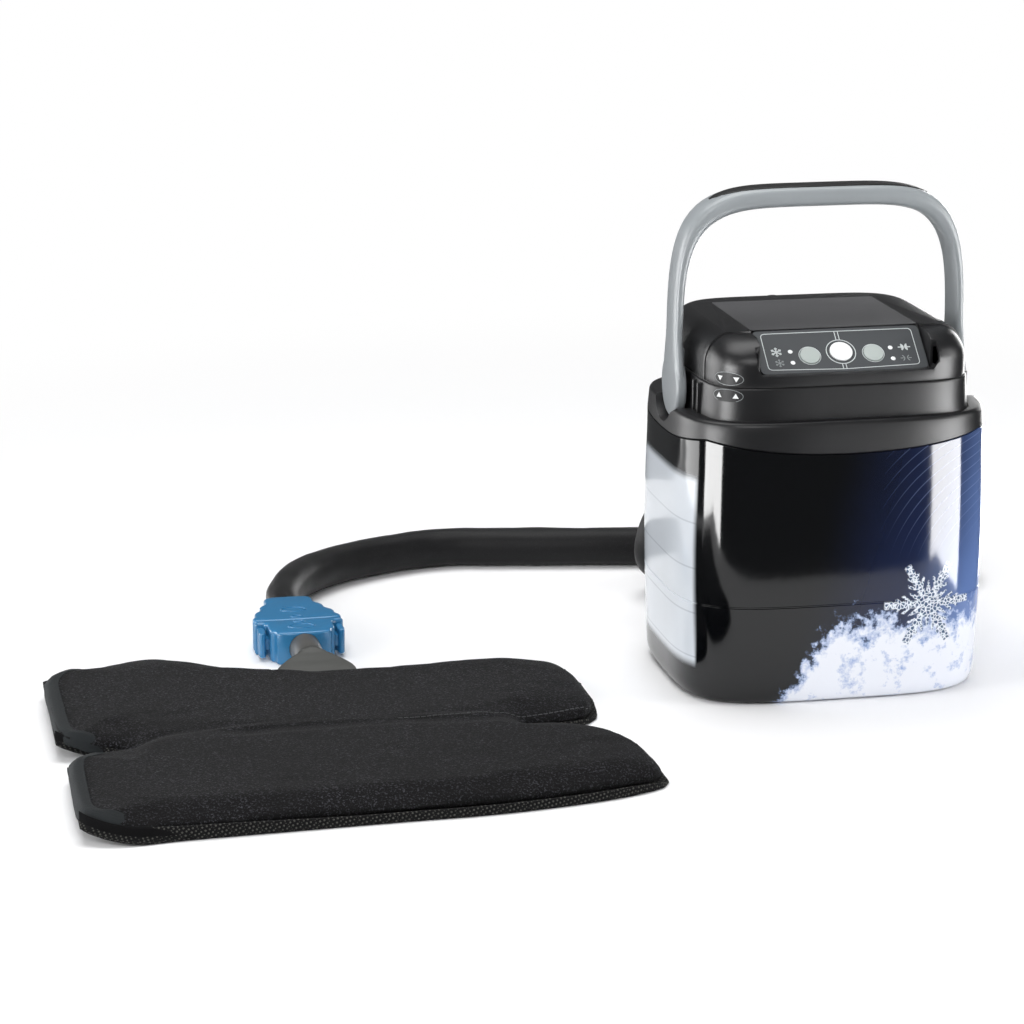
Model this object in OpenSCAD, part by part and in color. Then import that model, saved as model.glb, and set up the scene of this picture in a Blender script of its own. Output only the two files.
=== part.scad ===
/* [Cooler body] */
// Width of the cooler at its rim
body_w = 226; // [212:1:240]
// Depth of the cooler at its rim
body_d = 185; // [175:1:200]
// Height of the rim above the floor
rim_z = 207; // [200:1:215]
// How far the walls swell out between base and rim
wall_swell = 2.5; // [1:0.5:4]
// Sideways reach of the rounding at the base
base_round = 6.5; // [4:0.5:10]
// Wall of the outer shell
shell_wall = 2.6; // [2:0.1:3.2]
// Height of the shallow step round the shell
step_z = 73; // [60:1:90]
// Thickness of the rubber pad that the cooler stands on
pad_h = 2; // [1.5:0.1:3]
// How far the pad stays inside the rim outline
pad_inset = 14; // [10:1:20]

/* [Ice tub] */
// Wall of the ice tub
tub_wall = 2; // [1.5:0.1:2.6]
// Height of the tub's underside
tub_z = 30; // [24:1:40]
// How far the tub's sides stand inside the neck's outline
tub_in = 6.5; // [6:0.5:10]
// How much the tub narrows on each side towards its floor
tub_draft = 8; // [4:0.5:12]

/* [Collar and neck] */
// Depth of the collar band at the middle of the front
band_front = 24; // [20:1:27]
// Depth of the collar band at the middle of each side
band_side = 20; // [17:1:24]
// How much shallower the band is at the corners
band_rise = 13; // [9:1:15]
// Thickness of the collar band with its inner skirt
collar_wall = 4.5; // [4:0.1:5]
// Thickness of the flat rim
rim_h = 2.5; // [2:0.1:3.5]
// Width of the flat rim beside the neck
rim_side = 14.5; // [14:0.5:17]
// Width of the flat rim before and behind the neck
rim_front = 8.5; // [7:0.5:12]
// Height of the neck above the rim
neck_h = 23.5; // [21:0.5:26]
// Wall of the neck
neck_wall = 3; // [2.4:0.1:3.4]

/* [Lid] */
// How far the lid's sides stand inside the neck's
lid_in = 2; // [1:0.5:3]
// Height of the lid above its lower edge
lid_h = 33.2; // [31:0.2:36]
// Thickness of the seal between neck and lid
seal_h = 1; // [0.8:0.1:1.4]
// Wall of the lid's cover
lid_wall = 2.4; // [2:0.1:2.8]
// Sideways reach of the rounded shoulders
shoulder_w = 19; // [14:1:22]
// Height of the rounded shoulders
shoulder_h = 23; // [18:1:25]
// Reach of the rounded nose from front to back
nose_w = 30; // [26:1:34]
// Height of the rounded nose
nose_h = 20; // [16:1:24]
// How far the nose lies below the flat top
nose_step = 1.4; // [0.8:0.2:2]
// Depth of the lid's plug below its lower edge
plug_h = 17.5; // [15:0.5:20]

/* [Label and control panel] */
// Width of the top label
label_w = 123; // [110:1:128]
// Distance of the top label from the lid's rear edge
label_back = 22.8; // [20:0.2:40]
// Thickness of the top label
label_t = 0.5; // [0.4:0.1:0.8]
// Width of the panel plate
panel_w = 122.4; // [118:0.2:126]
// Height of the panel plate along its slope
panel_l = 38.6; // [37:0.2:39.6]
// Thickness of the panel plate
panel_t = 2.3; // [2:0.1:2.8]
// Slope of the panel
panel_tilt = 40; // [38:1:42]
// Diameter of the two round keys
key_d = 14.2; // [12:0.2:15]
// Distance of the round keys from the middle
key_x = 23.3; // [21:0.1:25]
// Diameter of the power key
power_key_d = 16.3; // [14:0.1:17]
// Travel of each key
key_travel = 0.8; // [0.5:0.1:0.9]
// Diameter of the indicator lights
light_d = 3.4; // [2.5:0.1:4]

/* [Carry handle] */
// Gap between each leg and the neck
handle_gap = 3; // [2.5:0.5:3.5]
// Height of the top of the grip above the pivots
handle_h = 142; // [128:1:157]
// Height of the handle's pivots above the rim
pivot_h = 11; // [10:0.5:12]
// Width of the strap from front to back
strap_w = 29; // [24:1:30]
// Thickness of the legs
leg_t = 7.5; // [7.3:0.1:7.7]
// Thickness of the grip
grip_t = 15; // [12:0.5:17]
// Diameter of the round ends
paddle_d = 46; // [42:1:48]
// Diameter of the pivot pins
pin_d = 8; // [6:0.5:10]
// Running clearance of the pivots
pin_clear = 0.05; // [0.02:0.01:0.1]

/* [Pumps] */
// Diameter of the water pump's motor can
pump_can_d = 34; // [28:1:38]
// Diameter of the water pump's volute
volute_d = 42; // [38:1:46]
// Diameter of the impeller
impeller_d = 32; // [26:1:34]
// Number of impeller blades
blades = 6; // [4:1:8]
// Diameter of the filter at the tub's floor
filter_d = 30; // [24:1:36]
// Diameter of the air pump's motor
air_motor_d = 24; // [20:1:26]

/* [Hose and coupling] */
// Diameter of the hose sleeve
hose_d = 31; // [27:1:33]
// Thickness of the coupling
coupling_h = 25; // [24:0.5:27]
// Widest part of the coupling
coupling_w = 67; // [62:1:72]
// Diameter of the grey tube to the wrap
tube_d = 23; // [20:0.5:23]
// Diameter of the coupling's nipples
nipple_d = 7; // [5:0.5:8]

/* [Wrap] */
// Length of the wrap between its left and right ends
wrap_l = 409; // [370:1:430]
// Thickness of the padded wrap
wrap_t = 14; // [11:0.5:18]
// How far the left ends curl up from the floor
wrap_curl = 16; // [8:1:22]
// Thickness of the lining under the pad
lining_t = 2; // [1.5:0.1:3]
// Width of the bound hem
hem_w = 8; // [6:0.5:10]

/* [Hidden] */

$fn = 48;
neck_z = rim_z + neck_h;
neck_w = body_w - 2 * rim_side;
neck_d = body_d - 2 * rim_front;
lid_w = neck_w - 2 * lid_in;
lid_d = neck_d + 1;
tub_w = neck_w - 2 * tub_in;
tub_d = neck_d - 2 * tub_in;
handle_w = neck_w + 2 * (handle_gap + leg_t);
pivot_z = rim_z + pivot_h;
handle_z = pivot_z + handle_h;
seat = 0.1;            // gap between pieces that sit together
loose = 0.3;           // gap round pieces that move
slice_h = 0.02;        // thickness of the slices that rounded forms are stretched over
foot_z = pad_h - 0.8;  // underside of the outer shell
base_round_h = 14;     // height over which the base is rounded
body_square = 4;       // squareness of the cooler's outline
lid_square = 5.5;      // squareness of the neck's and lid's outline
skirt_z = rim_z - 35;  // lower edge of the collar's inner skirt
foam_top = rim_z - 19;
notch_clear = 3;       // gap between the handle's round ends and their notches
paddle_in = handle_w / 2 - leg_t - 0.5;   // inner face of the round ends
notch_back = neck_w / 2 - 0.3;            // back wall of the notches
pocket_wall = 2;
boss_end = paddle_in - 0.4;
lid_z = neck_z + seal_h;
lid_top = lid_z + lid_h;
shoulder_z = lid_top - shoulder_h + 0.3;
nose_z = lid_top - nose_h;
crease_y = 36.5 - lid_d / 2;   // where the flat top ends and the nose begins
label_y = crease_y + 3.7;      // front edge of the label
label_l = lid_d / 2 - label_back - label_y;
plug_w = neck_w - 2 * neck_wall - 4.4;
plug_d = neck_d - 2 * neck_wall - 4;
plug_z = lid_z - plug_h;
plug_floor = plug_z + 2.6;
panel_y = 23.85 - lid_d / 2;   // centre of the panel
panel_z = lid_top - 13.45;
recess_w = panel_w + 2.2;
key_y = -4.3;          // keys on the panel's slope, from its centre
power_y = -1.9;
light_x = 36.8;
light_ys = [0, -9.8];
board_z = -13;         // underside of the circuit board, below the panel's face
board_t = 1.6;
board_w = 108;
board_l = 34;
key_foot = -6.3;
outlet_z = lid_z + 15.5;
outlet_d = 33.6;
outlet_y = lid_d / 2 - 11.5;   // inner end of the hose outlet
outlet_end = outlet_y + 32;    // its rear face
jack_x = 60;
jack_z = lid_z + 14.5;
pump_y = plug_d / 2 - 49;
volute_z = plug_z - 54;
volute_h = 16;
filter_z = 33.5;
filter_h = 26;
screw_x = 72;
screw_y = plug_d / 2 - 27;
air_y = plug_d / 2 - 37;
valve_y = plug_d / 2 - 35;
air_z = lid_z + 4.5;
coupling_x = -365.5;
coupling_z = coupling_h / 2;
coupling_y = 112;      // face where the two halves meet
coupling_front = 76;
coupling_back = 175;
flange_y = 14;         // front of the flange that joins the tube to the wrap
wrap_k = wrap_l / 409; // the edge tables below are drawn for this length
bladder_left = -134.5; // left end of the chambers, from the coupling
bladder_l = 250;
bladder_r = 10;
bladder_t = 3;
latch_y = 96.5;
hose_end_r = coupling_h / 2 - 0.4;   // the sleeve is gathered to this radius at the coupling
hose_gap = 0.4;        // lowest line of the hose above the floor

// --- outlines ---------------------------------------------------------------

// signed power, so that a superellipse keeps its quadrants
function spow(v, p) = sign(v) * pow(abs(v), p);

// outline of a rounded box with softly bowed sides
function soft_rect(a, b, squareness, steps = 56) =
    [for (i = [0:steps - 1]) let (t = 360 * i / steps)
        [a * spow(cos(t), 2 / squareness), b * spow(sin(t), 2 / squareness)]];

// drop of a quarter ellipse of the given reach and height, at height h above its foot
function quarter(h, reach, height) =
    h <= 0 ? 0 : reach * (1 - sqrt(max(0, 1 - pow(min(h / height, 1), 2))));

// how far the body's wall lies inside the rim outline at height z
function body_inset(z) =
    quarter(base_round_h + foot_z - z, base_round, base_round_h)
    - wall_swell * sin(180 * max(0, z - base_round_h) / (rim_z - base_round_h));

module body_slice(z, grow)
    translate([0, 0, z])
        linear_extrude(slice_h)
            polygon(soft_rect(body_w / 2 - body_inset(z) + grow,
                body_d / 2 - body_inset(z) + grow, body_square));

// the body's form between two heights, grown or shrunk
module body_form(low, high, grow = 0) {
    heights = [for (z = [2.5, 5, 9, 14, 40, 73, 105, 140, 175]) if (z > low + 1 && z < high - 1) z];
    hull() {
        body_slice(low, grow);
        for (z = heights) body_slice(z, grow);
        body_slice(high - slice_h, grow);
    }
}

// everything under the collar's wavy lower edge
module under_band_line() {
    intersection() {
        translate([0, 200, 0])
            rotate([90, 0, 0])
                linear_extrude(400)
                    polygon(concat([[150, -5], [-150, -5]],
                        [for (x = [-150:10:150])
                            [x, rim_z - band_front + band_rise * pow(2 * x / body_w, 2)]]));
        translate([-200, 0, 0])
            rotate([90, 0, 90])
                linear_extrude(400)
                    polygon(concat([[130, -5], [-130, -5]],
                        [for (y = [-130:10:130])
                            [y, rim_z - band_side + band_rise * 0.75 * pow(2 * y / body_d, 2)]]));
    }
}

// upright slot with a round foot about the handle's pivot, from x0 to x1
module pivot_slot(x0, x1, r, top = 60)
    translate([x0, 0, pivot_z])
        rotate([90, 0, 90])
            linear_extrude(x1 - x0) {
                circle(r);
                translate([-r, 0]) square([2 * r, top]);
            }

module both_sides() {
    children();
    mirror([1, 0, 0]) children();
}

// --- cooler -------------------------------------------------------------------

module outer_shell() color([0.05, 0.07, 0.13]) {
    difference() {
        intersection() {
            body_form(foot_z, rim_z);
            under_band_line();
        }
        body_form(foot_z + shell_wall, rim_z + 1, -shell_wall);
        translate([0, 0, step_z])
            linear_extrude(1)
                difference() {
                    square([body_w + 40, body_d + 40], center = true);
                    polygon(soft_rect(body_w / 2 - body_inset(step_z) - 0.5,
                        body_d / 2 - body_inset(step_z) - 0.5, body_square));
                }
        translate([0, 0, -1])
            linear_extrude(pad_h + 1)
                polygon(soft_rect(body_w / 2 - pad_inset + seat, body_d / 2 - pad_inset + seat,
                    body_square));
    }
}

module base_pad() color([0.09, 0.09, 0.09])
    linear_extrude(pad_h - seat / 2)
        polygon(soft_rect(body_w / 2 - pad_inset, body_d / 2 - pad_inset, body_square));

module tub_form(grow, low = tub_z) hull() {
    translate([0, 0, low])
        linear_extrude(slice_h)
            polygon(soft_rect(tub_w / 2 - tub_draft + grow, tub_d / 2 - tub_draft + grow, lid_square));
    translate([0, 0, rim_z - rim_h - seat])
        linear_extrude(slice_h)
            polygon(soft_rect(tub_w / 2 + grow, tub_d / 2 + grow, lid_square));
}

module insulation_foam() color([0.9, 0.88, 0.8])
    difference() {
        union() {
            body_form(foot_z + shell_wall + seat, skirt_z - 0.5, -shell_wall - seat);
            body_form(skirt_z - 1, foam_top, -collar_wall - seat);
        }
        tub_form(seat, tub_z - seat);
    }

module ice_tub() color([0.85, 0.87, 0.88])
    difference() {
        union() {
            tub_form(0);
            translate([0, 0, rim_z - rim_h - seat - 2.4])
                linear_extrude(2.4)
                    polygon(soft_rect(body_w / 2 - collar_wall - 0.2, body_d / 2 - collar_wall - 0.2,
                        body_square));
        }
        tub_form(-tub_wall, tub_z + tub_wall);
        translate([0, 0, rim_z - rim_h - seat])
            linear_extrude(5) square([body_w, body_d], center = true);
        both_sides() pivot_slot(notch_back - pocket_wall - seat, body_w, paddle_d / 2 + notch_clear
            + pocket_wall + seat);
    }

module neck_collar() color([0.11, 0.11, 0.12]) {
    notch_r = paddle_d / 2 + notch_clear;
    difference() {
        union() {
            // band, rim and inner skirt
            difference() {
                body_form(skirt_z, rim_z);
                body_form(skirt_z - 1, rim_z - rim_h, -collar_wall);
                difference() {
                    under_band_line();
                    body_form(skirt_z - 1, rim_z, -shell_wall - seat);
                }
            }
            // neck, a little narrower at its top
            hull() {
                translate([0, 0, rim_z - rim_h])
                    linear_extrude(slice_h)
                        polygon(soft_rect(neck_w / 2, neck_d / 2, lid_square));
                translate([0, 0, neck_z - slice_h])
                    linear_extrude(slice_h)
                        polygon(soft_rect(neck_w / 2 - 1, neck_d / 2 - 1, lid_square));
            }
            // pockets that the handle's round ends turn in
            both_sides() intersection() {
                pivot_slot(notch_back - pocket_wall, body_w / 2 - 1.5, notch_r + pocket_wall,
                    rim_z - pivot_z + notch_r);
                translate([0, 0, rim_z - 30])
                    linear_extrude(30)
                        polygon(soft_rect(body_w / 2 - 1, body_d / 2 - 1, body_square));
            }
        }
        both_sides() pivot_slot(notch_back, body_w, notch_r);
        translate([0, 0, rim_z - 40])
            linear_extrude(80)
                polygon(soft_rect(neck_w / 2 - neck_wall, neck_d / 2 - neck_wall, lid_square));
        both_sides() translate([notch_back - 8, 0, pivot_z])
            rotate([0, 90, 0]) cylinder(d = pin_d, h = 20);
    }
    both_sides() {
        // boss round each pivot pin
        translate([notch_back - 1, 0, pivot_z])
            rotate([0, 90, 0])
                difference() {
                    cylinder(r = pin_d / 2 + 4.5, h = boss_end - notch_back + 1);
                    translate([0, 0, -1]) cylinder(d = pin_d, h = 20);
                }
        // upright ribs on the neck beside each pocket
        for (y = [-45, -33, 33, 45])
            translate([neck_w / 2 - 2, y - 1.2, rim_z - 1])
                cube([3.6, 2.4, neck_z - rim_z - 1]);
    }
}

module pivot_pin() translate([notch_back - pocket_wall, 0, pivot_z])
    rotate([0, 90, 0]) {
        length = paddle_in + leg_t - 2.4 - (notch_back - pocket_wall);
        cylinder(d = pin_d, h = length - 1);
        translate([0, 0, length - 1]) cylinder(d1 = pin_d, d2 = pin_d - 2, h = 1);
    }

module right_pivot_pin() color([0.7, 0.72, 0.74]) pivot_pin();

module left_pivot_pin() color([0.7, 0.72, 0.74]) mirror([1, 0, 0]) pivot_pin();

// --- lid ----------------------------------------------------------------------

// one slice of the lid at height z, with its own inset at front, back and sides
module lid_slice(z, front, back, side, shrink)
    translate([0, (front - back) / 2, z])
        linear_extrude(slice_h)
            polygon(soft_rect(lid_w / 2 - side - shrink, (lid_d - front - back) / 2 - shrink,
                lid_square));

// the lid's form with a rounded nose (nose = 1) or an upright front (nose = 0)
module lid_form(nose, shrink = 0, low = lid_z) {
    top = lid_top - shrink - nose * nose_step;
    steps = [0, 0.35, 0.6, 0.78, 0.9, 0.97, 1];
    hull() {
        lid_slice(low, 0, 0, 0, shrink + nose * nose_step / 2);
        for (s = steps) let (z = shoulder_z - shrink + s * (top - shoulder_z + shrink - slice_h))
            lid_slice(z, nose * quarter(z - nose_z + shrink, nose_w, nose_h),
                quarter(z - top + 8, 6, 8),
                quarter(z - shoulder_z + shrink, shoulder_w, shoulder_h),
                shrink + nose * nose_step / 2);
    }
}

// the panel's own frame: its face is z = 0, its upper edge points to +y
module on_panel() translate([0, panel_y, panel_z]) rotate([panel_tilt, 0, 0]) children();

module key_places() {
    for (x = [-key_x, key_x]) translate([x, key_y, 0]) children();
}

// everything in front of the panel's back wall
module panel_backing(gap)
    on_panel() translate([-recess_w / 2 - 2 - gap, -40, -panel_t - lid_wall - gap])
        cube([recess_w + 4 + 2 * gap, 80, 60]);

module screw_places() for (x = [-screw_x, screw_x], y = [-screw_y, screw_y])
    translate([x, y, 0]) children();

module lid_cover() color([0.12, 0.12, 0.13])
    difference() {
        union() {
            difference() {
                union() {
                    lid_form(1);
                    intersection() {
                        lid_form(0);
                        translate([-150, crease_y, 0]) cube([300, 300, 400]);
                    }
                }
                // hollow inside, kept behind the panel's back wall
                difference() {
                    lid_form(1, lid_wall, lid_z - 1);
                    panel_backing(0);
                }
            }
            // posts for the board and for the lid's screws
            on_panel() for (x = [-48, 48], y = [-13, 13])
                translate([x, y, board_z + board_t]) cylinder(r = 2.6, h = 8);
            intersection() {
                screw_places() translate([0, 0, plug_floor]) cylinder(r = 4, h = lid_h + plug_h);
                union() {
                    lid_form(1);
                    translate([0, 0, 150]) linear_extrude(lid_z - 149) square(200, center = true);
                }
            }
        }
        // recess for the panel
        on_panel() translate([-recess_w / 2, -panel_l / 2 - 0.6, -panel_t - seat])
            cube([recess_w, 80, 60]);
        on_panel() key_places() translate([0, 0, -20]) cylinder(d = key_d + 2 * loose, h = 30);
        on_panel() translate([0, power_y, -20]) cylinder(d = power_key_d + 2 * loose, h = 30);
        // recess for the label
        translate([-label_w / 2 - seat, label_y - seat, lid_top - label_t - 0.1])
            cube([label_w + 2 * seat, label_l + 2 * seat, 5]);
        // openings in the rear wall
        translate([0, lid_d / 2 + 5, outlet_z]) rotate([90, 0, 0]) cylinder(r = 12.2, h = 20);
        translate([jack_x, lid_d / 2 + 5, jack_z]) rotate([90, 0, 0]) cylinder(r = 5.6, h = 20);
        screw_places() translate([0, 0, plug_floor - 1]) cylinder(r = 1.5, h = 20);
    }

module lid_base() color([0.14, 0.14, 0.15])
    difference() {
        union() {
            translate([0, 0, plug_z])
                linear_extrude(lid_z - plug_z + 0.5)
                    polygon(soft_rect(plug_w / 2, plug_d / 2, lid_square));
            translate([0, 0, lid_z])
                linear_extrude(2)
                    polygon(soft_rect(lid_w / 2 - lid_wall - 0.9, lid_d / 2 - lid_wall - 0.9,
                        lid_square));
        }
        translate([0, 0, plug_floor])
            linear_extrude(40)
                polygon(soft_rect(plug_w / 2 - 2.4, plug_d / 2 - 2.4, lid_square));
        screw_places() translate([0, 0, plug_z - 1]) cylinder(r = 1.8, h = 8);
        translate([volute_d / 2 + 6, pump_y, plug_z - 1]) cylinder(r = 4.2, h = 8);
        panel_backing(seat);
    }

module lid_seal() color([0.05, 0.05, 0.05])
    translate([0, 0, neck_z])
        linear_extrude(seal_h)
            difference() {
                polygon(soft_rect(neck_w / 2 - 2, neck_d / 2 - 2, lid_square));
                polygon(soft_rect(plug_w / 2 + seat, plug_d / 2 + seat, lid_square));
            }

module lid_screws() color([0.6, 0.62, 0.64])
    screw_places() translate([0, 0, plug_z - 1.6]) {
        cylinder(r = 3.2, h = 1.6);
        translate([0, 0, 1.5]) cylinder(r = 1.45, h = 14);
    }

module control_panel() color([0.33, 0.34, 0.35])
    on_panel() difference() {
        translate([0, 0, -panel_t])
            linear_extrude(panel_t)
                offset(r = 4) square([panel_w - 8, panel_l - 8], center = true);
        key_places() translate([0, 0, -5]) cylinder(d = key_d + 2 * loose, h = 10);
        translate([0, power_y, -5]) cylinder(d = power_key_d + 2 * loose, h = 10);
        for (x = [-light_x, light_x], y = light_ys)
            translate([x, y, -5]) cylinder(d = light_d, h = 10);
    }

module indicator_lights() color([0.95, 0.96, 0.98])
    on_panel() for (x = [-light_x, light_x], y = light_ys)
        translate([x, y, -panel_t]) {
            cylinder(d = light_d, h = panel_t);
            translate([0, 0, panel_t]) cylinder(d1 = light_d, d2 = light_d - 1.4, h = 0.35);
        }

module top_label() color([0.27, 0.27, 0.28])
    translate([0, label_y + label_l / 2, lid_top - label_t - 0.05])
        linear_extrude(label_t)
            offset(r = 2) square([label_w - 4, label_l - 4], center = true);

// a key: a domed cap on a stem with a flange that keeps it in the panel
module key(d) {
    cylinder(d = d, h = panel_t + 3);
    translate([0, 0, panel_t + 3]) cylinder(d1 = d, d2 = d - 1.6, h = 0.5);
    translate([0, 0, -1.2]) cylinder(d = d + 2.4, h = 1);
    translate([0, 0, -1.4]) cylinder(d = d - 3, h = 1.5);
}

module cold_key() color([0.68, 0.71, 0.7])
    on_panel() translate([-key_x, key_y, key_foot + 1.4]) key(key_d);

module compression_key() color([0.68, 0.71, 0.7])
    on_panel() translate([key_x, key_y, key_foot + 1.4]) key(key_d);

module power_key() color([0.92, 0.93, 0.93])
    on_panel() translate([0, power_y, key_foot + 1.4]) key(power_key_d);

module circuit_board() color([0.1, 0.35, 0.18])
    on_panel() translate([-board_w / 2, -board_l / 2, board_z]) cube([board_w, board_l, board_t]);

module key_switches() color([0.2, 0.2, 0.22])
    on_panel() for (p = [[-key_x, key_y], [0, power_y], [key_x, key_y]])
        translate([p.x, p.y, board_z + board_t]) {
            translate([-6, -6, 0]) cube([12, 12, 3.4]);
            cylinder(r = 2.5, h = key_foot - key_travel - 0.1 - board_z - board_t);
        }

// --- water circuit --------------------------------------------------------------

// straight pipe between two points
module pipe_run(a, b, r) {
    v = b - a;
    translate(a)
        rotate([0, acos(v.z / norm(v)), atan2(v.y, v.x)]) cylinder(r = r, h = norm(v));
}

// pipe through a list of points with round elbows
module pipe(points, r) {
    for (i = [1:len(points) - 1]) pipe_run(points[i - 1], points[i], r);
    for (i = [1:len(points) - 2]) translate(points[i]) sphere(r + 0.5);
}

module water_pump_motor() color([0.16, 0.17, 0.2])
    translate([0, pump_y, volute_z + volute_h])
        difference() {
            cylinder(d = pump_can_d, h = plug_z - volute_z - volute_h);
            translate([0, 0, -1]) cylinder(r = 1.55, h = 13);
            for (i = [0:11]) rotate(30 * i)
                translate([pump_can_d / 2, 0, 6]) cylinder(r = 1, h = 24);
        }

module pump_volute() color([0.2, 0.21, 0.24])
    translate([0, pump_y, volute_z]) difference() {
        union() {
            cylinder(d = volute_d, h = volute_h);
            translate([0, 0, -8]) cylinder(r = 9, h = 9);
        }
        translate([0, 0, 3]) cylinder(d = volute_d - 5, h = volute_h - 6);
        translate([0, 0, -9]) cylinder(r = 5, h = 14);
        translate([0, 0, -9]) cylinder(r = 7, h = 7);
        translate([0, 0, 10]) cylinder(r = 2.2, h = 20);
        translate([volute_d / 2 - 4, 0, volute_h / 2]) rotate([0, 90, 0]) cylinder(r = 3.6, h = 10);
    }

module pump_impeller() color([0.85, 0.85, 0.82])
    translate([0, pump_y, volute_z + 3.6]) {
        cylinder(d = impeller_d, h = 1.4);
        cylinder(r = 4.5, h = 8.6);
        for (i = [0:blades - 1]) rotate(360 / blades * i)
            translate([3.6, -0.7, 1.2])
                rotate([0, 0, -22]) cube([impeller_d / 2 - 4.6, 1.4, 6]);
        cylinder(r = 1.5, h = volute_h + 6);
    }

module suction_tube() color([0.75, 0.78, 0.8])
    translate([0, pump_y, filter_z + filter_h])
        difference() {
            cylinder(r = 7, h = volute_z - 2 - filter_z - filter_h);
            translate([0, 0, -1]) cylinder(r = 5, h = 200);
        }

module pump_filter() color([0.15, 0.3, 0.5])
    translate([0, pump_y, filter_z]) difference() {
        cylinder(d = filter_d, h = filter_h);
        translate([0, 0, 2]) cylinder(d = filter_d - 4, h = filter_h - 4);
        translate([0, 0, filter_h - 3]) cylinder(r = 5, h = 5);
        for (i = [0:15]) rotate(22.5 * i)
            translate([filter_d / 2 - 4, -1, 4]) cube([8, 2, filter_h - 8]);
    }

module water_line() color([0.82, 0.85, 0.88]) {
    x = volute_d / 2 + 6;
    pipe([[volute_d / 2 - 2, pump_y, volute_z + volute_h / 2],
        [x, pump_y, volute_z + volute_h / 2],
        [x, pump_y, outlet_z - 2], [5, pump_y, outlet_z - 2],
        [5, outlet_y - seat, outlet_z - 2]], 3.5);
}

// --- air circuit ------------------------------------------------------------------

module air_pump_motor() color([0.62, 0.64, 0.66])
    translate([-64, air_y, air_z]) {
        difference() {
            rotate([0, 90, 0]) cylinder(d = air_motor_d, h = 27.6);
            translate([20, 0, 0]) rotate([0, 90, 0]) cylinder(r = 1.55, h = 20);
        }
        translate([4, -8, plug_floor - air_z]) cube([24, 16, air_z - plug_floor - air_motor_d / 2 + 3]);
    }

module air_pump_cam() color([0.3, 0.3, 0.32])
    translate([-64, air_y, air_z]) rotate([0, 90, 0]) {
        translate([0, 0, 22]) cylinder(r = 1.5, h = 18);
        translate([1.2, 0, 33]) cylinder(r = 6, h = 6);
    }

module air_pump_head() color([0.24, 0.25, 0.27]) {
    x = -36;
    translate([x, air_y - 11, air_z + 11]) cube([26, 22, 8]);
    translate([x + 8, air_y, air_z + 7.6]) cylinder(r = 5, h = 4);
    translate([x + 14, air_y - 11, plug_floor]) cube([12, 22, air_z + 12 - plug_floor]);
}

module valve_block() color([0.3, 0.31, 0.33])
    translate([24, valve_y, plug_floor]) {
        cube([34, 22, 12]);
        for (x = [8, 26]) translate([x, 11, 11.5]) cylinder(r = 6.5, h = 14);
    }

module air_line() color([0.9, 0.9, 0.92]) {
    back = outlet_y - 3.5;
    pipe([[-9.9, air_y, air_z + 15], [-4, air_y, air_z + 15],
        [-4, outlet_y - seat, air_z + 15]], 2.2);
    pipe([[41, valve_y + 22.1, plug_floor + 6], [41, back, plug_floor + 6],
        [-6, back, plug_floor + 6], [-6, back, outlet_z - 6], [-6, outlet_y - seat, outlet_z - 6]],
        2);
}

module hose_outlet() color([0.1, 0.1, 0.11])
    translate([0, outlet_y, outlet_z]) rotate([-90, 0, 0])
        difference() {
            wall_y = lid_d / 2 - outlet_y;
            union() {
                cylinder(r = 12, h = outlet_end - outlet_y);
                translate([0, 0, wall_y + 0.2]) cylinder(d = outlet_d, h = 4);
                translate([0, 0, wall_y + 4]) cylinder(d1 = outlet_d, d2 = hose_d + 1, h = 16.5);
            }
            for (i = [0:2]) translate([0, 0, wall_y + 7 + 4 * i])
                rotate_extrude() translate([hose_d / 2 + 0.2, 0]) square([4, 1.6]);
        }

module power_jack() color([0.08, 0.08, 0.09])
    translate([jack_x, outlet_y - 3, jack_z]) rotate([-90, 0, 0]) {
        length = lid_d / 2 + 0.6 - (outlet_y - 3);
        difference() {
            union() {
                cylinder(r = 5.5, h = length);
                translate([0, 0, 2]) cylinder(r = 6.8, h = 4);
            }
            translate([0, 0, length - 9]) cylinder(r = 3.1, h = 20);
        }
    }

// --- handle -------------------------------------------------------------------------

// half-ellipse-like arch in the x-z plane, a wide and b high, at angle t
function arch(a, b, t) = [a * spow(cos(t), 2 / 4.7), 0, pivot_z + b * spow(sin(t), 2 / 4.7)];

// rings of a strap that follows the arch; out = how far its outer face is raised
function strap_rings(angles, half_w, out, thick, sides) =
    [for (t = angles)
        let (a = handle_w / 2, b = handle_z - pivot_z,
            p = arch(a, b, t), q = arch(a - leg_t, b - grip_t, t),
            e = (p - q) / norm(p - q), depth = thick > 0 ? thick : norm(p - q),
            middle = p + e * (out - depth / 2), half = thick > 0 ? half_w * 0.9 : half_w,
            w = half * (thick > 0 ? sqrt(max(0.04, 1 - pow(p.x / 81, 6))) : 1))
        [for (k = [0:sides - 1]) let (s = 360 * k / sides)
            middle + e * (depth / 2 * spow(cos(s), 0.6)) + [0, w * spow(sin(s), 0.6), 0]]];

// closed solid through a list of rings with equal numbers of points
module skin(rings) {
    n = len(rings[0]);
    m = len(rings);
    polyhedron(points = [for (r = rings) each r],
        faces = concat([[for (k = [0:n - 1]) k]],
            [[for (k = [n - 1:-1:0]) (m - 1) * n + k]],
            [for (i = [0:m - 2], k = [0:n - 1]) each
                [[i * n + k, (i + 1) * n + k, (i + 1) * n + (k + 1) % n],
                 [i * n + k, (i + 1) * n + (k + 1) % n, i * n + (k + 1) % n]]]));
}

module insert_form() skin(strap_rings([for (t = [62:3.5:118]) t], 10.5, 0.15, 2.4, 12));

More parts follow.
